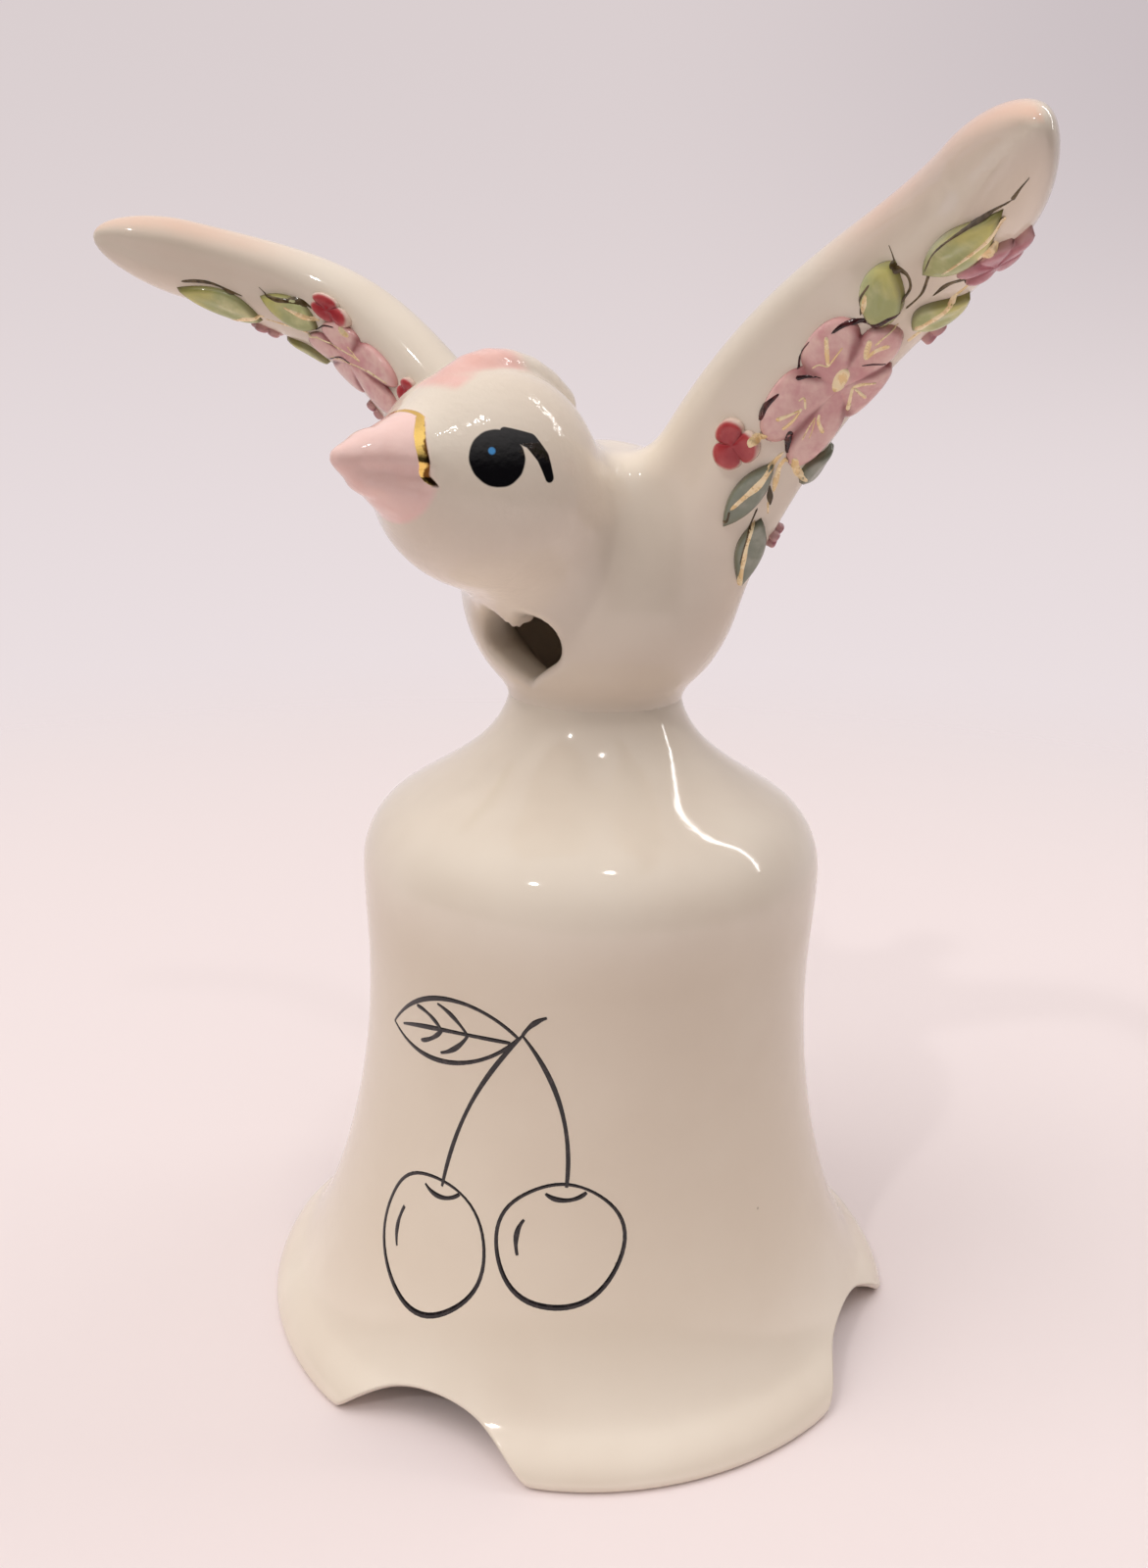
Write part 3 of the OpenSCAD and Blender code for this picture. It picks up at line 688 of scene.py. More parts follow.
def bird_form(p):
    """Distance from the whole bird's skin."""
    whole, head, beak, crest, tail, left, right = bird_parts(p)
    for piece, seam in ((head, head_seam), (tail, tail_seam), (np.minimum(left, right), wing_seam),
                        (crest, crest_seam), (beak, beak_seam)):
        whole = join(whole, piece, seam)
    whole = carve(carve(whole, mouth_form(p), mouth_round), body_hollow(p), bore_round)
    near = np.abs(whole) < heart_near
    if near.any():
        whole[near] = carve(whole[near], heart_form(p[near]), heart_round)
    return carve(whole, p[:, 2] - neck_z + seam_sink, seam_round)


def in_lots(form, p, lot=60000):
    """Works a form out for a few points at a time, to save memory."""
    return np.concatenate([form(p[i:i + lot]) for i in range(0, len(p), lot)])


def lean(form, p, step=0.04):
    """Which way a form's distance grows at each point."""
    moves = np.eye(3) * step
    return np.stack([(in_lots(form, p + m) - in_lots(form, p - m)) / (2 * step) for m in moves], axis=1)


def settle(form, p, rounds=3, most=0.3):
    """Moves points onto a form's skin and gives them with the ways out of it."""
    for _ in range(rounds):
        way = lean(form, p)
        move = (in_lots(form, p) / np.maximum((way * way).sum(1), 0.05))[:, None] * way
        p = p - move * np.minimum(1, most / np.maximum(np.linalg.norm(move, axis=1, keepdims=True), 1e-9))
    return p, unit(lean(form, p))


def skin_net(form, low, high, step):
    """Points and four-sided faces of a form's skin, from a grid that is worked out only near the skin."""
    block, near_blocks = 8, 1.6
    count = np.ceil((high - low) / step / block).astype(int)
    mids = np.stack(np.meshgrid(*[(np.arange(c) + 0.5) * block * step for c in count], indexing="ij"), -1) + low
    rough = in_lots(form, mids.reshape(-1, 3)).reshape(count)
    grid = np.repeat(np.repeat(np.repeat(rough, block, 0), block, 1), block, 2)
    near = np.abs(rough) < near_blocks * block * step
    inner = np.stack(np.meshgrid(*[(np.arange(block) - block / 2 + 0.5) * step] * 3, indexing="ij"), -1)
    fine = (mids[near][:, None, None, None] + inner).reshape(-1, 3)
    blocks = grid.reshape(count[0], block, count[1], block, count[2], block).transpose(0, 2, 4, 1, 3, 5)
    blocks[near] = in_lots(form, fine).reshape(-1, block, block, block)
    grid = blocks.transpose(0, 3, 1, 4, 2, 5).reshape(count * block)
    full = grid < 0
    shifts = [(i, j, k) for i in (0, 1) for j in (0, 1) for k in (0, 1)]
    a, b, c = np.array(grid.shape) - 1
    total = sum(full[i:i + a, j:j + b, k:k + c].astype(np.int8) for i, j, k in shifts)
    cells = np.argwhere((total > 0) & (total < 8))
    number = np.full((a, b, c), -1)
    number[tuple(cells.T)] = np.arange(len(cells))
    values = [grid[tuple((cells + s).T)] for s in shifts]
    spot, hits = np.zeros((len(cells), 3)), np.zeros(len(cells))
    for m, s in enumerate(shifts):
        for n, e in enumerate(shifts):
            if n > m and sum(abs(np.subtract(s, e))) == 1:
                cross = (values[m] < 0) != (values[n] < 0)
                share = np.where(cross, values[m] / np.where(cross, values[m] - values[n], 1), 0)[:, None]
                spot += cross[:, None] * (np.array(s) + share * np.subtract(e, s))
                hits += cross
    points = low + (cells + spot / hits[:, None] + 0.5) * step
    faces = []
    for axis in range(3):
        one, two = (axis + 1) % 3, (axis + 2) % 3
        edge = np.argwhere(np.diff(full.astype(np.int8), axis=axis) != 0)
        edge = edge[(edge[:, one] > 0) & (edge[:, two] > 0)]
        back = ~full[tuple(edge.T)]
        corners = []
        for s, e in ((1, 1), (0, 1), (0, 0), (1, 0)):
            cell = edge.copy()
            cell[:, one] -= s
            cell[:, two] -= e
            corners.append(number[tuple(np.minimum(cell, np.array(number.shape) - 1).T)])
        quads = np.stack(corners, axis=1)
        quads[back] = quads[back][:, ::-1]
        faces.append(quads[(quads >= 0).all(axis=1)])
    return points, np.concatenate(faces)


bird_low = np.array([-wing_x, -beak_reach, neck_z]) - low_room + skin_shift
bird_high = np.array([wing_x, body_r + tail_l, body_at[2] + wing_z]) + high_room
skin, skin_faces = skin_net(bird_form, bird_low, bird_high, skin_step)
skin, skin_out = settle(bird_form, skin)
skin_parts = in_lots(lambda p: bird_parts(p).T, skin).T
skin_hollow = np.linalg.norm(skin - body_at, axis=1) < body_r - hollow_depth
blush = in_lots(blush_share, skin)
pink = pink_share(skin, skin_parts[3])
bird_glaze, head_glaze = glaze("bird_glaze", bird_paint), glaze("head_glaze", head_paint, head_peel, head_grain)
skin_parts[0] += seam_give
face_owner = skin_parts[:, skin_faces].mean(axis=2).argmin(axis=0)
face_owner[skin_hollow[skin_faces].any(axis=1)] = 0
for number, node in enumerate(cast_pieces):
    kept, faces = np.unique(skin_faces[face_owner == number], return_inverse=True)
    painted = node in ("bird_head", "beak", "crest")
    piece = make_mesh("cast_" + node, skin[kept], faces.reshape(-1, 4), head_glaze if painted else bird_glaze,
                      skin_out[kept], {"blush": blush[kept], "pink": pink[kept]})
    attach(piece, "root")
    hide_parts(node)

# Flowers on the wings
# Flowers pressed from thin clay are stuck on with slip before firing: the pink and mauve ones have five petals,
# the crimson buds three lobes. Each is given by its place on the wing, as a share of its length and degrees
# round it, its length and width as shares of the plain size, and its turn.
sprig_h, petals, petal_phase = 1.1, {"flower": 5, "bud": 3}, {"flower": 0.14, "bud": 1.05}
blossom_l, blossom_w, blossom_mesh = 16.0, 9.0, (120, 16)
floret_r, floret_mesh = 2.3, (60, 10)
rim_sink, root_sink, sprig_edge, probe_t = 0.12, 0.6, 0.05, 0.002
blossoms = {"left": (0.462, 51, 1.0, 1.0, 0), "right": (0.472, 84, 0.9, 0.84, -12)}
red_florets = {"left": [(0.272, 88, 1.1, 1.05, 0)],
               "right": [(0.316, 118, 0.75, 0.65, 0), (0.577, 120, 1.3, 0.62, 0)]}
mauve_florets = {"left": [(0.168, -12, 0.55, 0.55, 0), (0.655, -18, 0.8, 0.6, -10), (0.868, 20, 1.9, 0.52, -12)],
                 "right": [(0.4, 18, 0.7, 0.6, 0), (0.755, 2, 0.9, 0.6, 0)]}
sprigs = {"left": [], "right": []}


def on_wing(t, a):
    """Points of the fired skin, and the ways out of it, near places on the left wing."""
    return settle(bird_form, wing_skin(np.asarray(t, float), np.asarray(a, float)))


def wing_pace(t, a):
    """Millimetres along the wing for its whole share, and round it for one degree, near a place."""
    probe = wing_skin(np.array([t + probe_t, t - probe_t, t, t]), np.array([a, a, a + 1, a - 1], float))
    return np.linalg.norm(probe[0] - probe[1]) / (2 * probe_t), np.linalg.norm(probe[2] - probe[3]) / 2


def petal_wave(kind, b):
    """1 in the middle of each petal and 0 between two, at angles round a flower."""
    return np.abs(np.cos(petals[kind] / 2 * (b + petal_phase[kind])))


def sprig_rim(sprig, b):
    """Outline of a sprig in millimetres about its own middle, at angles round it."""
    kind, _, long, wide = sprig
    if kind in petals:
        r = 0.62 + 0.38 * petal_wave(kind, b) ** 0.5
        return np.stack([long * r * np.cos(b), wide * r * np.sin(b)], axis=-1)
    bow = (long ** 2 + wide ** 2) / (2 * wide)
    r = np.sqrt(bow ** 2 - ((bow - wide) * np.cos(b)) ** 2) - (bow - wide) * np.abs(np.sin(b))
    return np.stack([r * np.cos(b), r * np.sin(b)], axis=-1)


def sprig_relief(sprig, r, b):
    """Height of a sprig off the wing, at shares of the way from its middle to its rim."""
    kind = sprig[0]
    if kind in petals:
        lobe = petal_wave(kind, b) ** 0.4
        dome = np.sqrt(np.clip(1 - r ** 7, 0, 1)) * (0.5 + 0.26 * np.clip(r, 0, 1))
        rise = dome * (1 - 0.75 * (1 - lobe) * r) + 0.14 * np.exp(-(r / 0.13) ** 2)
    else:
        vein = np.exp(-(r * np.sin(b) / 0.14) ** 2)
        rise = 0.75 * np.sqrt(np.clip(1 - r ** 4, 0, 1)) * (0.86 + 0.14 * r - 0.1 * vein)
    return np.where(r < 1, sprig_edge + sprig_h * rise, 0)


def turned(x, y, turn):
    c, s = math.cos(math.radians(turn)), math.sin(math.radians(turn))
    return x * c - y * s, x * s + y * c


def wing_lift(side, t, a):
    """How high the sprigs of a wing stand at places on it."""
    lift = np.zeros(len(t))
    for sprig in sprigs[side]:
        kind, (t0, a0, turn), long, wide = sprig
        pace_t, pace_a = wing_pace(t0, a0)
        x, y = turned((t - t0) * pace_t, (a - a0) * pace_a, -turn)
        b = np.arctan2(y / wide, x / long) if kind in petals else np.arctan2(y, x)
        rim = sprig_rim(sprig, b)
        lift = np.maximum(lift, sprig_relief(sprig, np.hypot(x, y) / np.hypot(rim[:, 0], rim[:, 1]), b))
    return lift


def on_side(side, points, faces):
    """A form made on the left wing, or its mirror image on the right one."""
    if side == "left":
        return points, faces
    return points * (-1, 1, 1), [face[::-1] for face in faces]


def pressed(name, side, kind, spot, long, wide, count, rings, material, slot, node):
    """One sprig on a wing, from its outline and its relief, closed below."""
    t0, a0, longer, wider, turn = spot
    sprig = (kind, (t0, a0, turn), long * longer, wide * wider)
    sprigs[side].append(sprig)
    turns = np.linspace(0, 2 * np.pi, count, endpoint=False)
    shares = np.linspace(0, 1, rings + 1)[1:] ** 0.8
    r, b = [np.append(grid.ravel(), [0, 0]) for grid in np.meshgrid(shares, turns, indexing="ij")]
    flat = np.concatenate([(shares[:, None, None] * sprig_rim(sprig, turns)).reshape(-1, 2), [(0, 0), (0, 0)]])
    pace_t, pace_a = wing_pace(t0, a0)
    x, y = turned(flat[:, 0], flat[:, 1], turn)
    base, out = on_wing(t0 + x / pace_t, a0 + y / pace_a)
    lift = sprig_relief(sprig, r, b)
    lift[-1] = -root_sink
    lift[r >= 1] = -rim_sink
    points = base + out * lift[:, None]
    last = rings * count
    j, on = np.arange(count), (np.arange(count) + 1) % count
    faces = tube_faces(rings, count, False)[:, ::-1].tolist()
    faces += np.stack([0 * j + last, j, on], axis=1).tolist()
    faces += np.stack([0 * j + last + 1, last - count + on, last - count + j], axis=1).tolist()
    spray = np.stack([r * np.cos(b), r * np.sin(b), r], axis=1)
    piece = make_mesh(name, *on_side(side, points, faces), material, None, {"spray": spray})
    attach(piece, "root")
    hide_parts(node)


def petal_place(shade, kind):
    """Place on a flower: share of the way out, and share of the way from a petal's middle to its side."""
    spray = shade.mark("spray", "Vector")
    turn = shade.math("ARCTAN2", spray.part("Y"), spray.part("X")) + petal_phase[kind]
    turn = turn / (2 * math.pi / petals[kind])
    return spray.part("Z"), abs(turn - shade.math("ROUND", turn)) * 2


def rose_paint(shade, place):
    """Dusty pink, streaked by the brush, deeper at the rim and in the creases between the petals."""
    r, aside = petal_place(shade, "flower")
    patch, streak = shade.noise(place, 0.5, 3.0), shade.noise(place, 2.2, 2.0)
    pale = (patch * 0.7 + streak * 0.3 + r * 0.2).ease(0.4, 0.8)
    colour = shade.mix((222, 164, 165), (243, 206, 197), pale)
    colour = shade.mix(colour, (206, 134, 138), (r + patch * 0.3).ease(1.02, 1.16) * 0.6)
    crease = aside.ease(0.62, 0.96) * r.ease(0.25, 0.6)
    colour = shade.mix(colour, (150, 78, 82), crease * 0.8)
    return colour, 0.1, 0.0


def floret_paint(kind, deep, pale, bare):
    """A deep colour that thins to a pale one towards the rim, where some clay is left bare."""
    def paint(shade, place):
        r, aside = petal_place(shade, kind)
        patch = shade.noise(place, 0.8, 3.0)
        colour = shade.mix(deep, pale, (patch * 0.6 + r * 0.5).ease(0.35, 0.95))
        colour = shade.mix(colour, deep, aside.ease(0.62, 0.96) * r.ease(0.2, 0.5) * 0.7)
        return shade.mix(colour, (238, 222, 206), (r + patch * 0.16).ease(0.86, 1.06) * bare), 0.1, 0.0
    return paint


rose_glaze = glaze("rose_glaze", rose_paint)
crimson_glaze = glaze("crimson_glaze", floret_paint("bud", (168, 50, 58), (204, 92, 92), 0.9))
mauve_glaze = glaze("mauve_glaze", floret_paint("flower", (172, 98, 112), (208, 150, 156), 0.25))
for side in ("left", "right"):
    pressed(side + "_large_flower", side, "flower", blossoms[side], blossom_l / 2, blossom_w / 2, *blossom_mesh,
            rose_glaze, "rose_sprig", side + "_large_blossom")
    for colour, kind, spots, material, slot in (("red", "bud", red_florets, crimson_glaze, "crimson_sprig"),
                                                ("mauve", "flower", mauve_florets, mauve_glaze, "mauve_sprig")):
        for i, spot in enumerate(spots[side], 1):
            pressed(f"{side}_{colour}_flower_{i}", side, kind, spot, floret_r, floret_r, *floret_mesh, material,
                    slot, f"{side}_{colour}_blossom_{i}")

# Leaves on the wings
# The leaves are pressed and stuck on in the same way, each with a faint vein down its middle.
# Those at the root of the wing are painted grey-green, and those nearer its tip olive with a yellow point.
leaf_l, leaf_w, leaf_mesh, root_leaves = 7.0, 2.8, (64, 10), 3
leaves = {"left": [(0.150, 26, 1.2, 0.95, 190), (0.225, 58, 1.2, 0.95, 174), (0.299, 0, 0.64, 0.92, -20),
                   (0.680, 80, 0.9, 1.4, 24), (0.722, 22, 0.9, 0.95, -16), (0.862, 60, 1.66, 1.08, -7)],
          "right": [(0.150, 26, 1.2, 0.95, 190), (0.225, 60, 1.2, 0.95, 174), (0.3, 22, 0.7, 0.8, -20),
                    (0.645, 20, 0.85, 0.9, -6), (0.684, 90, 1.02, 1.15, 4), (0.829, 56, 1.36, 1.48, 4)]}


def leaf_paint(deep, fresh, tip):
    """Two greens in patches, another at the point, and a darker rim."""
    def paint(shade, place):
        spray = shade.mark("spray", "Vector")
        x, y, r = (spray.part(axis) for axis in "XYZ")
        patch = shade.noise(place, 0.6, 3.0)
        colour = shade.mix(deep, fresh, (patch * 0.8 + y * 0.12).ease(0.3, 0.62))
        colour = shade.mix(colour, tip, (x + patch * 0.5).ease(0.4, 1.1) * 0.8)
        edge = (r + patch * 0.16).ease(0.84, 1.06)
        return shade.mix(colour, (96, 92, 56), edge * 0.6), 0.1, 0.0
    return paint


root_leaf_glaze = glaze("root_leaf_glaze", leaf_paint((140, 148, 132), (172, 174, 160), (132, 140, 124)))
tip_leaf_glaze = glaze("tip_leaf_glaze", leaf_paint((178, 186, 128), (216, 216, 162), (212, 206, 120)))
for side in ("left", "right"):
    for i, spot in enumerate(leaves[side], 1):
        pressed(f"{side}_leaf_sprig_{i}", side, "leaf", spot, leaf_l / 2, leaf_w / 2, *leaf_mesh,
                tip_leaf_glaze if i > root_leaves else root_leaf_glaze, "leaf_sprig", f"{side}_leaf_{i}")

# Brush work on the sprigs
# Dark maroon and olive-brown lines pick out the edges, and strokes of bright gold are fired on last of all.
# A stroke is a row of knots: its half width in hundredths of a millimetre, and its place on the wing in
# thousandths of the length and degrees round it.
stroke_steps = 24
gold_strokes = {
    "left": [[(39, 505, 57), (65, 475, 55), (43, 450, 53)], [(26, 527, 86), (22, 505, 78), (15, 483, 70)],
             [(6, 538, 72), (8, 510, 71), (9, 483, 70)], [(9, 483, 70), (7, 473, 76), (6, 458, 78)],
             [(19, 613, 44), (19, 585, 50), (17, 550, 52)], [(27, 595, 60), (24, 570, 56), (15, 550, 52)],
             [(5, 655, 50), (7, 623, 53), (7, 593, 54)], [(19, 345, 74), (14, 368, 68), (9, 387, 64)],
             [(21, 338, 66), (14, 360, 64), (7, 387, 64)], [(7, 395, 70), (10, 405, 68), (9, 390, 62)],
             [(11, 395, 50), (16, 382, 46), (23, 368, 36)], [(7, 387, 51), (6, 363, 50), (5, 340, 48)],
             [(5, 382, 50), (5, 363, 46), (4, 348, 44)], [(10, 512, 25), (16, 495, 36), (12, 478, 42)],
             [(12, 478, 42), (18, 453, 36), (19, 427, 29)], [(10, 478, 40), (21, 475, 32), (19, 470, 22)],
             [(18, 302, 53), (26, 275, 55), (35, 247, 56), (26, 217, 61), (12, 198, 64)],
             [(17, 297, 47), (23, 280, 48), (30, 260, 44), (17, 240, 39)], [(9, 223, 38), (8, 207, 31)],
             [(29, 307, 43), (38, 292, 36), (38, 280, 26), (20, 275, 14)],
             [(8, 193, 40), (19, 168, 38), (24, 140, 32), (21, 118, 26), (16, 102, 18)],
             [(19, 935, 44), (16, 915, 46), (12, 880, 51), (5, 820, 58)],
             [(10, 815, 21), (17, 763, 26), (25, 677, 36)], [(10, 672, 20), (19, 650, 23), (22, 625, 25)],
             [(10, 665, 88), (28, 648, 84), (15, 625, 80)], [(15, 875, 42), (34, 888, 38), (18, 900, 35)],
             [(30, 287, 78), (49, 297, 78), (10, 315, 72)]],
    "right": [[(12, 820, 30), (33, 788, 52), (10, 753, 62)], [(11, 703, 94), (32, 658, 94), (11, 603, 97)],
              [(10, 750, 58), (15, 688, 66), (11, 623, 74), (6, 590, 82)],
              [(24, 530, 111), (47, 515, 109), (19, 493, 110)], [(6, 600, 80), (7, 517, 88), (9, 438, 96)],
              [(6, 488, 98), (7, 463, 96), (9, 438, 96)], [(5, 538, 71), (7, 438, 90), (9, 358, 104)],
              [(11, 412, 96), (9, 385, 100), (5, 358, 104)],
              [(18, 302, 56), (26, 270, 57), (30, 230, 60), (12, 198, 66)],
              [(17, 290, 48), (26, 262, 46), (17, 225, 38)], [(8, 190, 38), (21, 145, 32), (16, 104, 20)],
              [(10, 700, 14), (18, 650, 12), (10, 610, 16)]]}
maroon_strokes = {
    "left": [[(7, 540, 85), (20, 575, 83), (23, 605, 75), (30, 623, 66), (20, 665, 62), (8, 688, 58)],
             [(14, 432, 86), (10, 453, 92), (5, 488, 93)], [(24, 422, 82), (14, 440, 76), (3, 455, 68)],
             [(26, 325, 84), (33, 348, 86), (7, 382, 84)], [(4, 533, 50), (10, 552, 42), (5, 565, 32)],
             [(25, 343, 60), (34, 323, 56), (15, 305, 51)]],
    "right": [[(5, 606, 86), (12, 580, 98), (6, 545, 106)], [(9, 557, 59), (9, 505, 80), (4, 458, 86)]]}
brown_strokes = {
    "left": [[(12, 195, 64), (15, 182, 62), (20, 177, 64)], [(8, 247, 46), (34, 233, 40), (9, 220, 34)],
             [(11, 210, 44), (9, 180, 41), (8, 158, 38), (5, 135, 34)],
             [(8, 953, 47), (14, 932, 60), (9, 893, 71), (6, 843, 75), (5, 800, 70)],
             [(13, 953, 47), (9, 965, 44), (3, 975, 38)], [(18, 815, 32), (21, 790, 43), (6, 753, 46)],
             [(9, 695, 56), (11, 743, 56), (17, 785, 64)], [(8, 685, 92), (17, 635, 88), (10, 608, 80)],
             [(24, 743, 90), (21, 753, 78), (15, 740, 68), (7, 710, 64)],
             [(3, 748, 110), (10, 745, 98), (21, 743, 90)]],
    "right": [[(14, 895, 76), (27, 875, 84), (16, 850, 88), (14, 818, 85), (6, 798, 84)],
              [(10, 753, 98), (29, 720, 100), (30, 672, 108), (11, 630, 106)], [(3, 770, 104), (10, 753, 98)],
              [(10, 198, 66), (16, 180, 64)], [(8, 245, 46), (30, 232, 41), (9, 218, 35)]]}


def through(knots, count):
    """A smooth line through knots, as evenly stepped points."""
    knots = np.vstack([2 * knots[0] - knots[1], knots, 2 * knots[-1] - knots[-2]])
    share = np.linspace(0, len(knots) - 3, count)
    i = np.minimum(share.astype(int), len(knots) - 4)
    u = (share - i)[:, None]
    a, b, c, d = (knots[i + k] for k in range(4))
    return b + u / 2 * (c - a + u * (2 * a - 5 * b + 4 * c - d + u * (3 * (b - c) + d - a)))


def brush_piece(name, side, strokes, material):
    """Strokes of one colour on one wing, as low beads that lie over the sprigs and the glaze."""
    places, lifts = [], []
    for stroke in strokes:
        halves, *spots = (np.array(stroke) / (100, 1000, 1)).T
        pace = np.array(wing_pace(*np.mean(spots, axis=1)))
        line = through(np.column_stack([np.transpose(spots) * pace, halves]), stroke_steps)
        flat, half = line[:, :2], line[:, 2]
        steps = np.linalg.norm(np.gradient(flat, axis=0), axis=1)
        run = np.cumsum(steps) - steps[0]
        end = np.clip(np.minimum(run, run[-1] - run) / half, 0.02, 1)
        half = half * np.sqrt(1 - (1 - end) ** 2) * (1 + 0.12 * np.sin(2.3 * run + 9 * flat[0, 0]))
        way = unit(np.gradient(flat, axis=0))
        aside = np.stack([-way[:, 1], way[:, 0]], axis=1) * half[:, None]
        for k, h in bead_section:
            places.append((flat + k * aside) / pace)
            lifts.append(np.full(len(flat), h))
    t, a = np.concatenate(places).T
    base, out = on_wing(t, a)
    points = base + out * (wing_lift(side, t, a) + np.concatenate(lifts))[:, None]
    faces = [face[::-1] for face in bead_faces([stroke_steps] * len(strokes))]
    piece = make_mesh(name, *on_side(side, points, faces), material)
    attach(piece, "root")


def gold_paint(shade, place):
    """Bright gold with a soft sheen, thin enough for the glaze to show through."""
    patch = shade.noise(place, 1.2, 2.0)
    return shade.mix((246, 214, 158), (253, 236, 196), patch.ease(0.35, 0.65)), patch * 0.15 + 0.2, 0.25


def line_paint(deep, pale):
    """A dark line that is paler where the brush ran dry."""
    def paint(shade, place):
        return shade.mix(deep, pale, shade.noise(place, 1.1, 2.0).ease(0.4, 0.75)), 0.14, 0.0
    return paint


gold_enamel = glaze("gold_enamel", gold_paint)
maroon_enamel = glaze("maroon_enamel", line_paint((44, 16, 20), (98, 44, 46)))
brown_enamel = glaze("brown_enamel", line_paint((74, 60, 32), (118, 100, 70)))
for side in ("left", "right"):
    brush_piece(side + "_maroon_lines", side, maroon_strokes[side], maroon_enamel)
    brush_piece(side + "_brown_lines", side, brown_strokes[side], brown_enamel)
    brush_piece(side + "_gold_strokes", side, gold_strokes[side], gold_enamel)

# Studio
# A plain pale table fades into a pale backdrop, and the room in front of it is dim. A large soft lamp stands
# on the left and a weak one in front, a slanting strip behind on the right, and two small lamps give the glints.
floor_rings, floor_count, table_fade = np.array([0.05, 0.2, 0.5, 1.0]) / MM, 96, (0.13, 0.42)
room_light, ceiling_light, lamp_aim = 0.05, 1.05, Vector((0, 0, 75))
warm_white = (1.0, 0.965, 0.94)
backdrop_way, backdrop_right = (-0.62, 0.785, 0.0), (0.785, 0.62, 0.0)


def table_paint():
    """Pale paper that thins out to nothing away from the bird."""
    material = bpy.data.materials.new("table_paper")
    shade = fresh_nodes(material)
    place = shade.node("TexCoord", {}, {}, "Object")
    paper = shade.node("BsdfDiffuse", {}, {"Color": tint(239, 228, 228)})
    clear = shade.node("BsdfTransparent", {}, {})
    away = place.away((0.0, 0.0, 0.0))
    surface = shade.node("MixShader", {}, {0: away.ease(*table_fade), 1: paper, 2: clear})
    shade.node("OutputMaterial", {}, {"Surface": surface})
    return material


floor_turns = np.linspace(0, 2 * np.pi, floor_count, endpoint=False)
floor_points = np.concatenate([np.stack([r * np.cos(floor_turns), r * np.sin(floor_turns), 0 * floor_turns], axis=1)
                               for r in floor_rings])
floor_faces = tube_faces(len(floor_rings), floor_count, False)[:, ::-1].tolist() + [list(range(floor_count))]
floor = make_mesh("table", floor_points, floor_faces, table_paint())

world = bpy.data.worlds.new("studio")
bpy.context.scene.world = world
sky = fresh_nodes(world)
look = sky.node("TexCoord", {}, {}, "Generated")
up, behind, aside = look.part("Z"), look.along(backdrop_way), look.along(backdrop_right)
# Painted shade: the backdrop is paler low down and darker towards the top, and darker still at the top right, as
# the studio light falls off across it.
backdrop = sky.mix((245, 232, 231), (233, 222, 224), up.ease(-0.5, -0.1))
backdrop = sky.mix(backdrop, (218, 207, 208), up.ease(-0.2, 0.27))
backdrop = sky.mix(backdrop, (192, 182, 186), up.ease(-0.05, 0.27) * aside.ease(0.0, 0.45) * 0.7)
camera_ray = sky.node("LightPath", {}, {}, "Is Camera Ray")
mirrored = camera_ray.also("Is Glossy Ray") + camera_ray.also("Is Transmission Ray")
seen = camera_ray.high(mirrored * behind.ease(-0.2, 0.5))
room = sky.node("Background", {}, {"Color": tint(238, 230, 228), "Strength": room_light})
ceiling = sky.node("Background", {}, {"Color": tint(250, 244, 242), "Strength": ceiling_light})
soft = sky.node("MixShader", {}, {0: up.ease(0.2, 0.9), 1: room, 2: ceiling})
pale = sky.node("Background", {}, {"Color": backdrop, "Strength": 1.0})
sky.node("OutputWorld", {}, {"Surface": sky.node("MixShader", {}, {0: seen, 1: soft, 2: pale})})


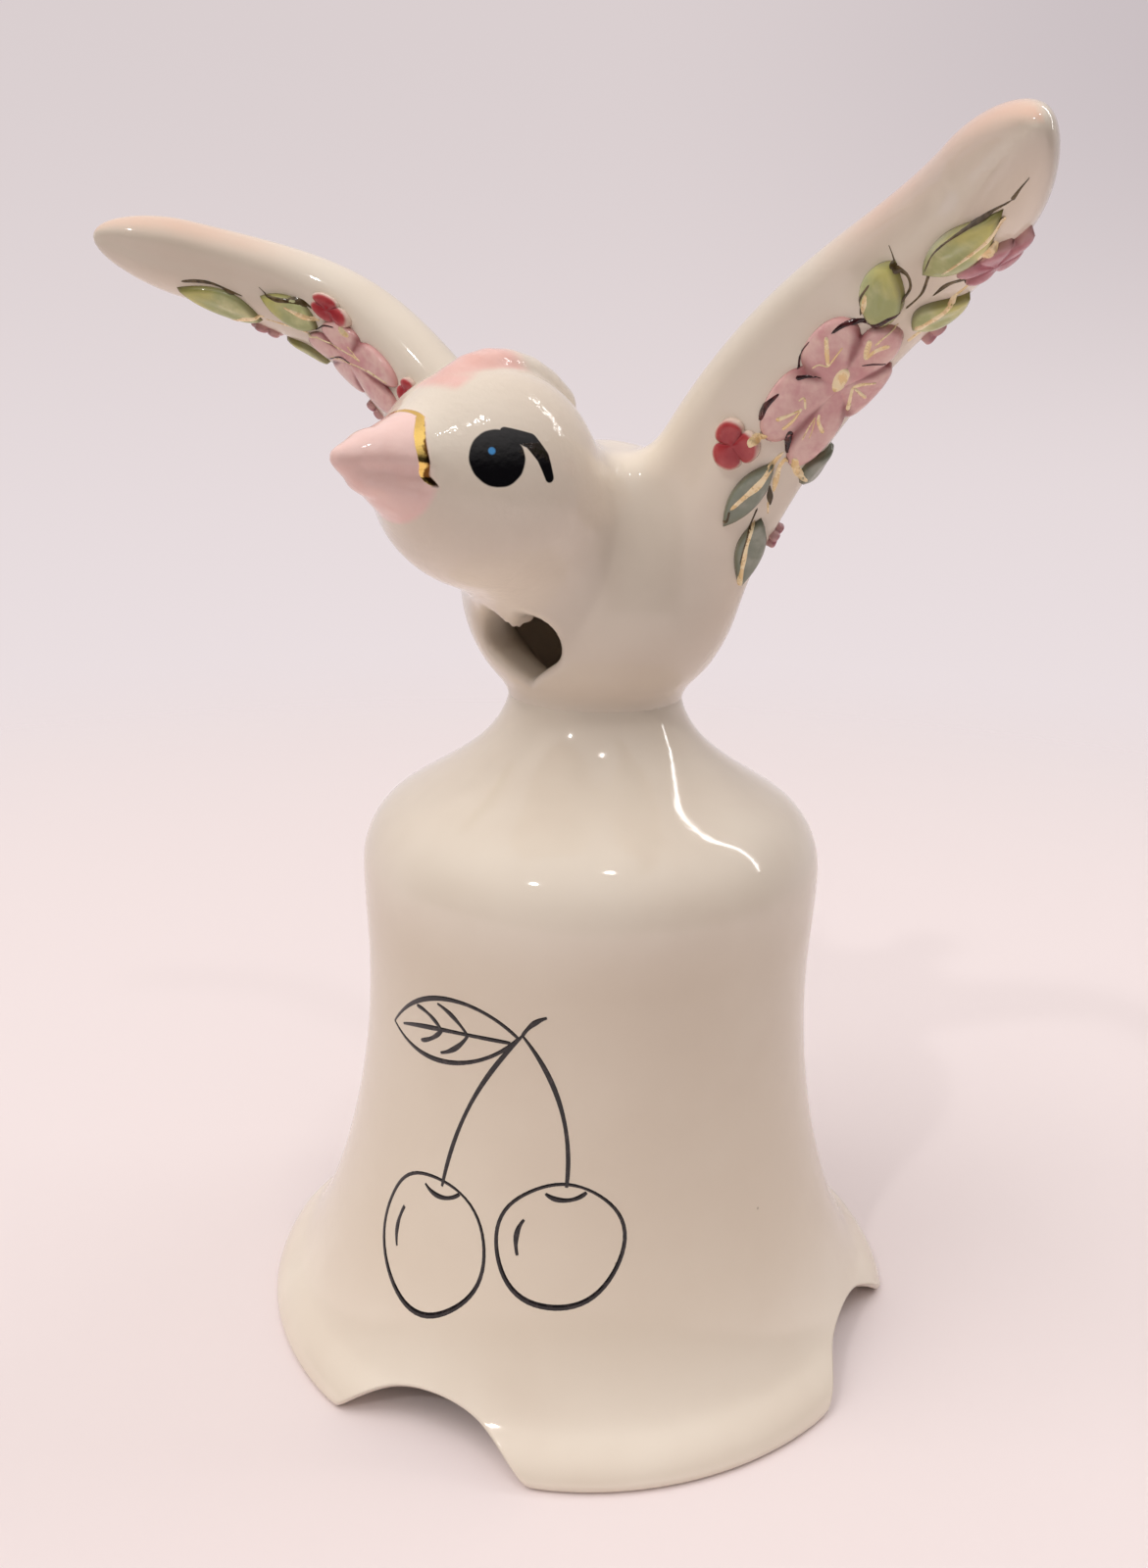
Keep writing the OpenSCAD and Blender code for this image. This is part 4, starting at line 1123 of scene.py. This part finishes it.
def lamp(name, ends, far, wide, power, colour, mirrored=True):
    """A flat lamp that shines on the bird, between two ends given by their turn and rise in degrees."""
    low, high = (lamp_aim + far * Vector((math.cos(turn) * math.cos(rise), math.sin(turn) * math.cos(rise),
                                          math.sin(rise))) for turn, rise in np.radians(ends))
    at, back = (low + high) / 2, ((low + high) / 2 - lamp_aim).normalized()
    tall = (high - low).normalized()
    light = bpy.data.lights.new(name, "AREA")
    light.shape, light.size, light.size_y = "RECTANGLE", wide * MM, (high - low).length * MM
    light.energy, light.color = power, colour
    made = bpy.data.objects.new(name, light)
    made.matrix_world = Matrix.Translation(at * MM) @ Matrix((tall.cross(back), tall, back)).transposed().to_4x4()
    made.visible_glossy = mirrored
    bpy.context.scene.collection.objects.link(made)


lamp("soft_lamp", ((-124, 32), (-124, 71)), 1200, 700, 4.0, warm_white, False)
lamp("strip_lamp", ((42, 19), (78, 58)), 480, 13, 0.26, (1.0, 0.98, 0.97))
lamp("front_lamp", ((-40, 45), (-40, 80)), 1200, 700, 0.2, warm_white, False)
lamp("left_spot", ((-85, 41.5), (-85, 43.5)), 1200, 42, 1.5, warm_white)
lamp("front_spot", ((-37, 62), (-37, 65)), 600, 31, 0.16, (1.0, 0.97, 0.95))

# Camera
# It stands where the photo was taken from, as a fit to the bell's rings says: its place in millimetres, its turn
# and dip in degrees and its roll in radians, with the focal length in pixels of the photo.
camera_at, camera_turn, camera_dip, camera_roll = (81.0, -106.2, 98.47), 38.2, 16.03, 0.0236
photo_h, photo_focus, sensor_h, nearest = 1600, 1300, 36.0, 0.005
turn, dip = math.radians(camera_turn), math.radians(camera_dip)
ahead = Vector((-math.sin(turn) * math.cos(dip), math.cos(turn) * math.cos(dip), -math.sin(dip)))
right = Vector((math.cos(turn), math.sin(turn), 0))
above = right.cross(ahead)
tilt_right = math.cos(camera_roll) * right + math.sin(camera_roll) * above
tilt_up = math.cos(camera_roll) * above - math.sin(camera_roll) * right
lens = bpy.data.cameras.new("camera")
lens.sensor_fit, lens.sensor_height = "VERTICAL", sensor_h
lens.lens = sensor_h * photo_focus / photo_h
lens.clip_start = nearest
camera = bpy.data.objects.new("camera", lens)
camera.matrix_world = Matrix.Translation(Vector(camera_at) * MM) @ Matrix(
    (tilt_right, tilt_up, -ahead)).transposed().to_4x4()
bpy.context.scene.collection.objects.link(camera)
bpy.context.scene.camera = camera
bpy.context.scene.view_settings.view_transform = "Standard"
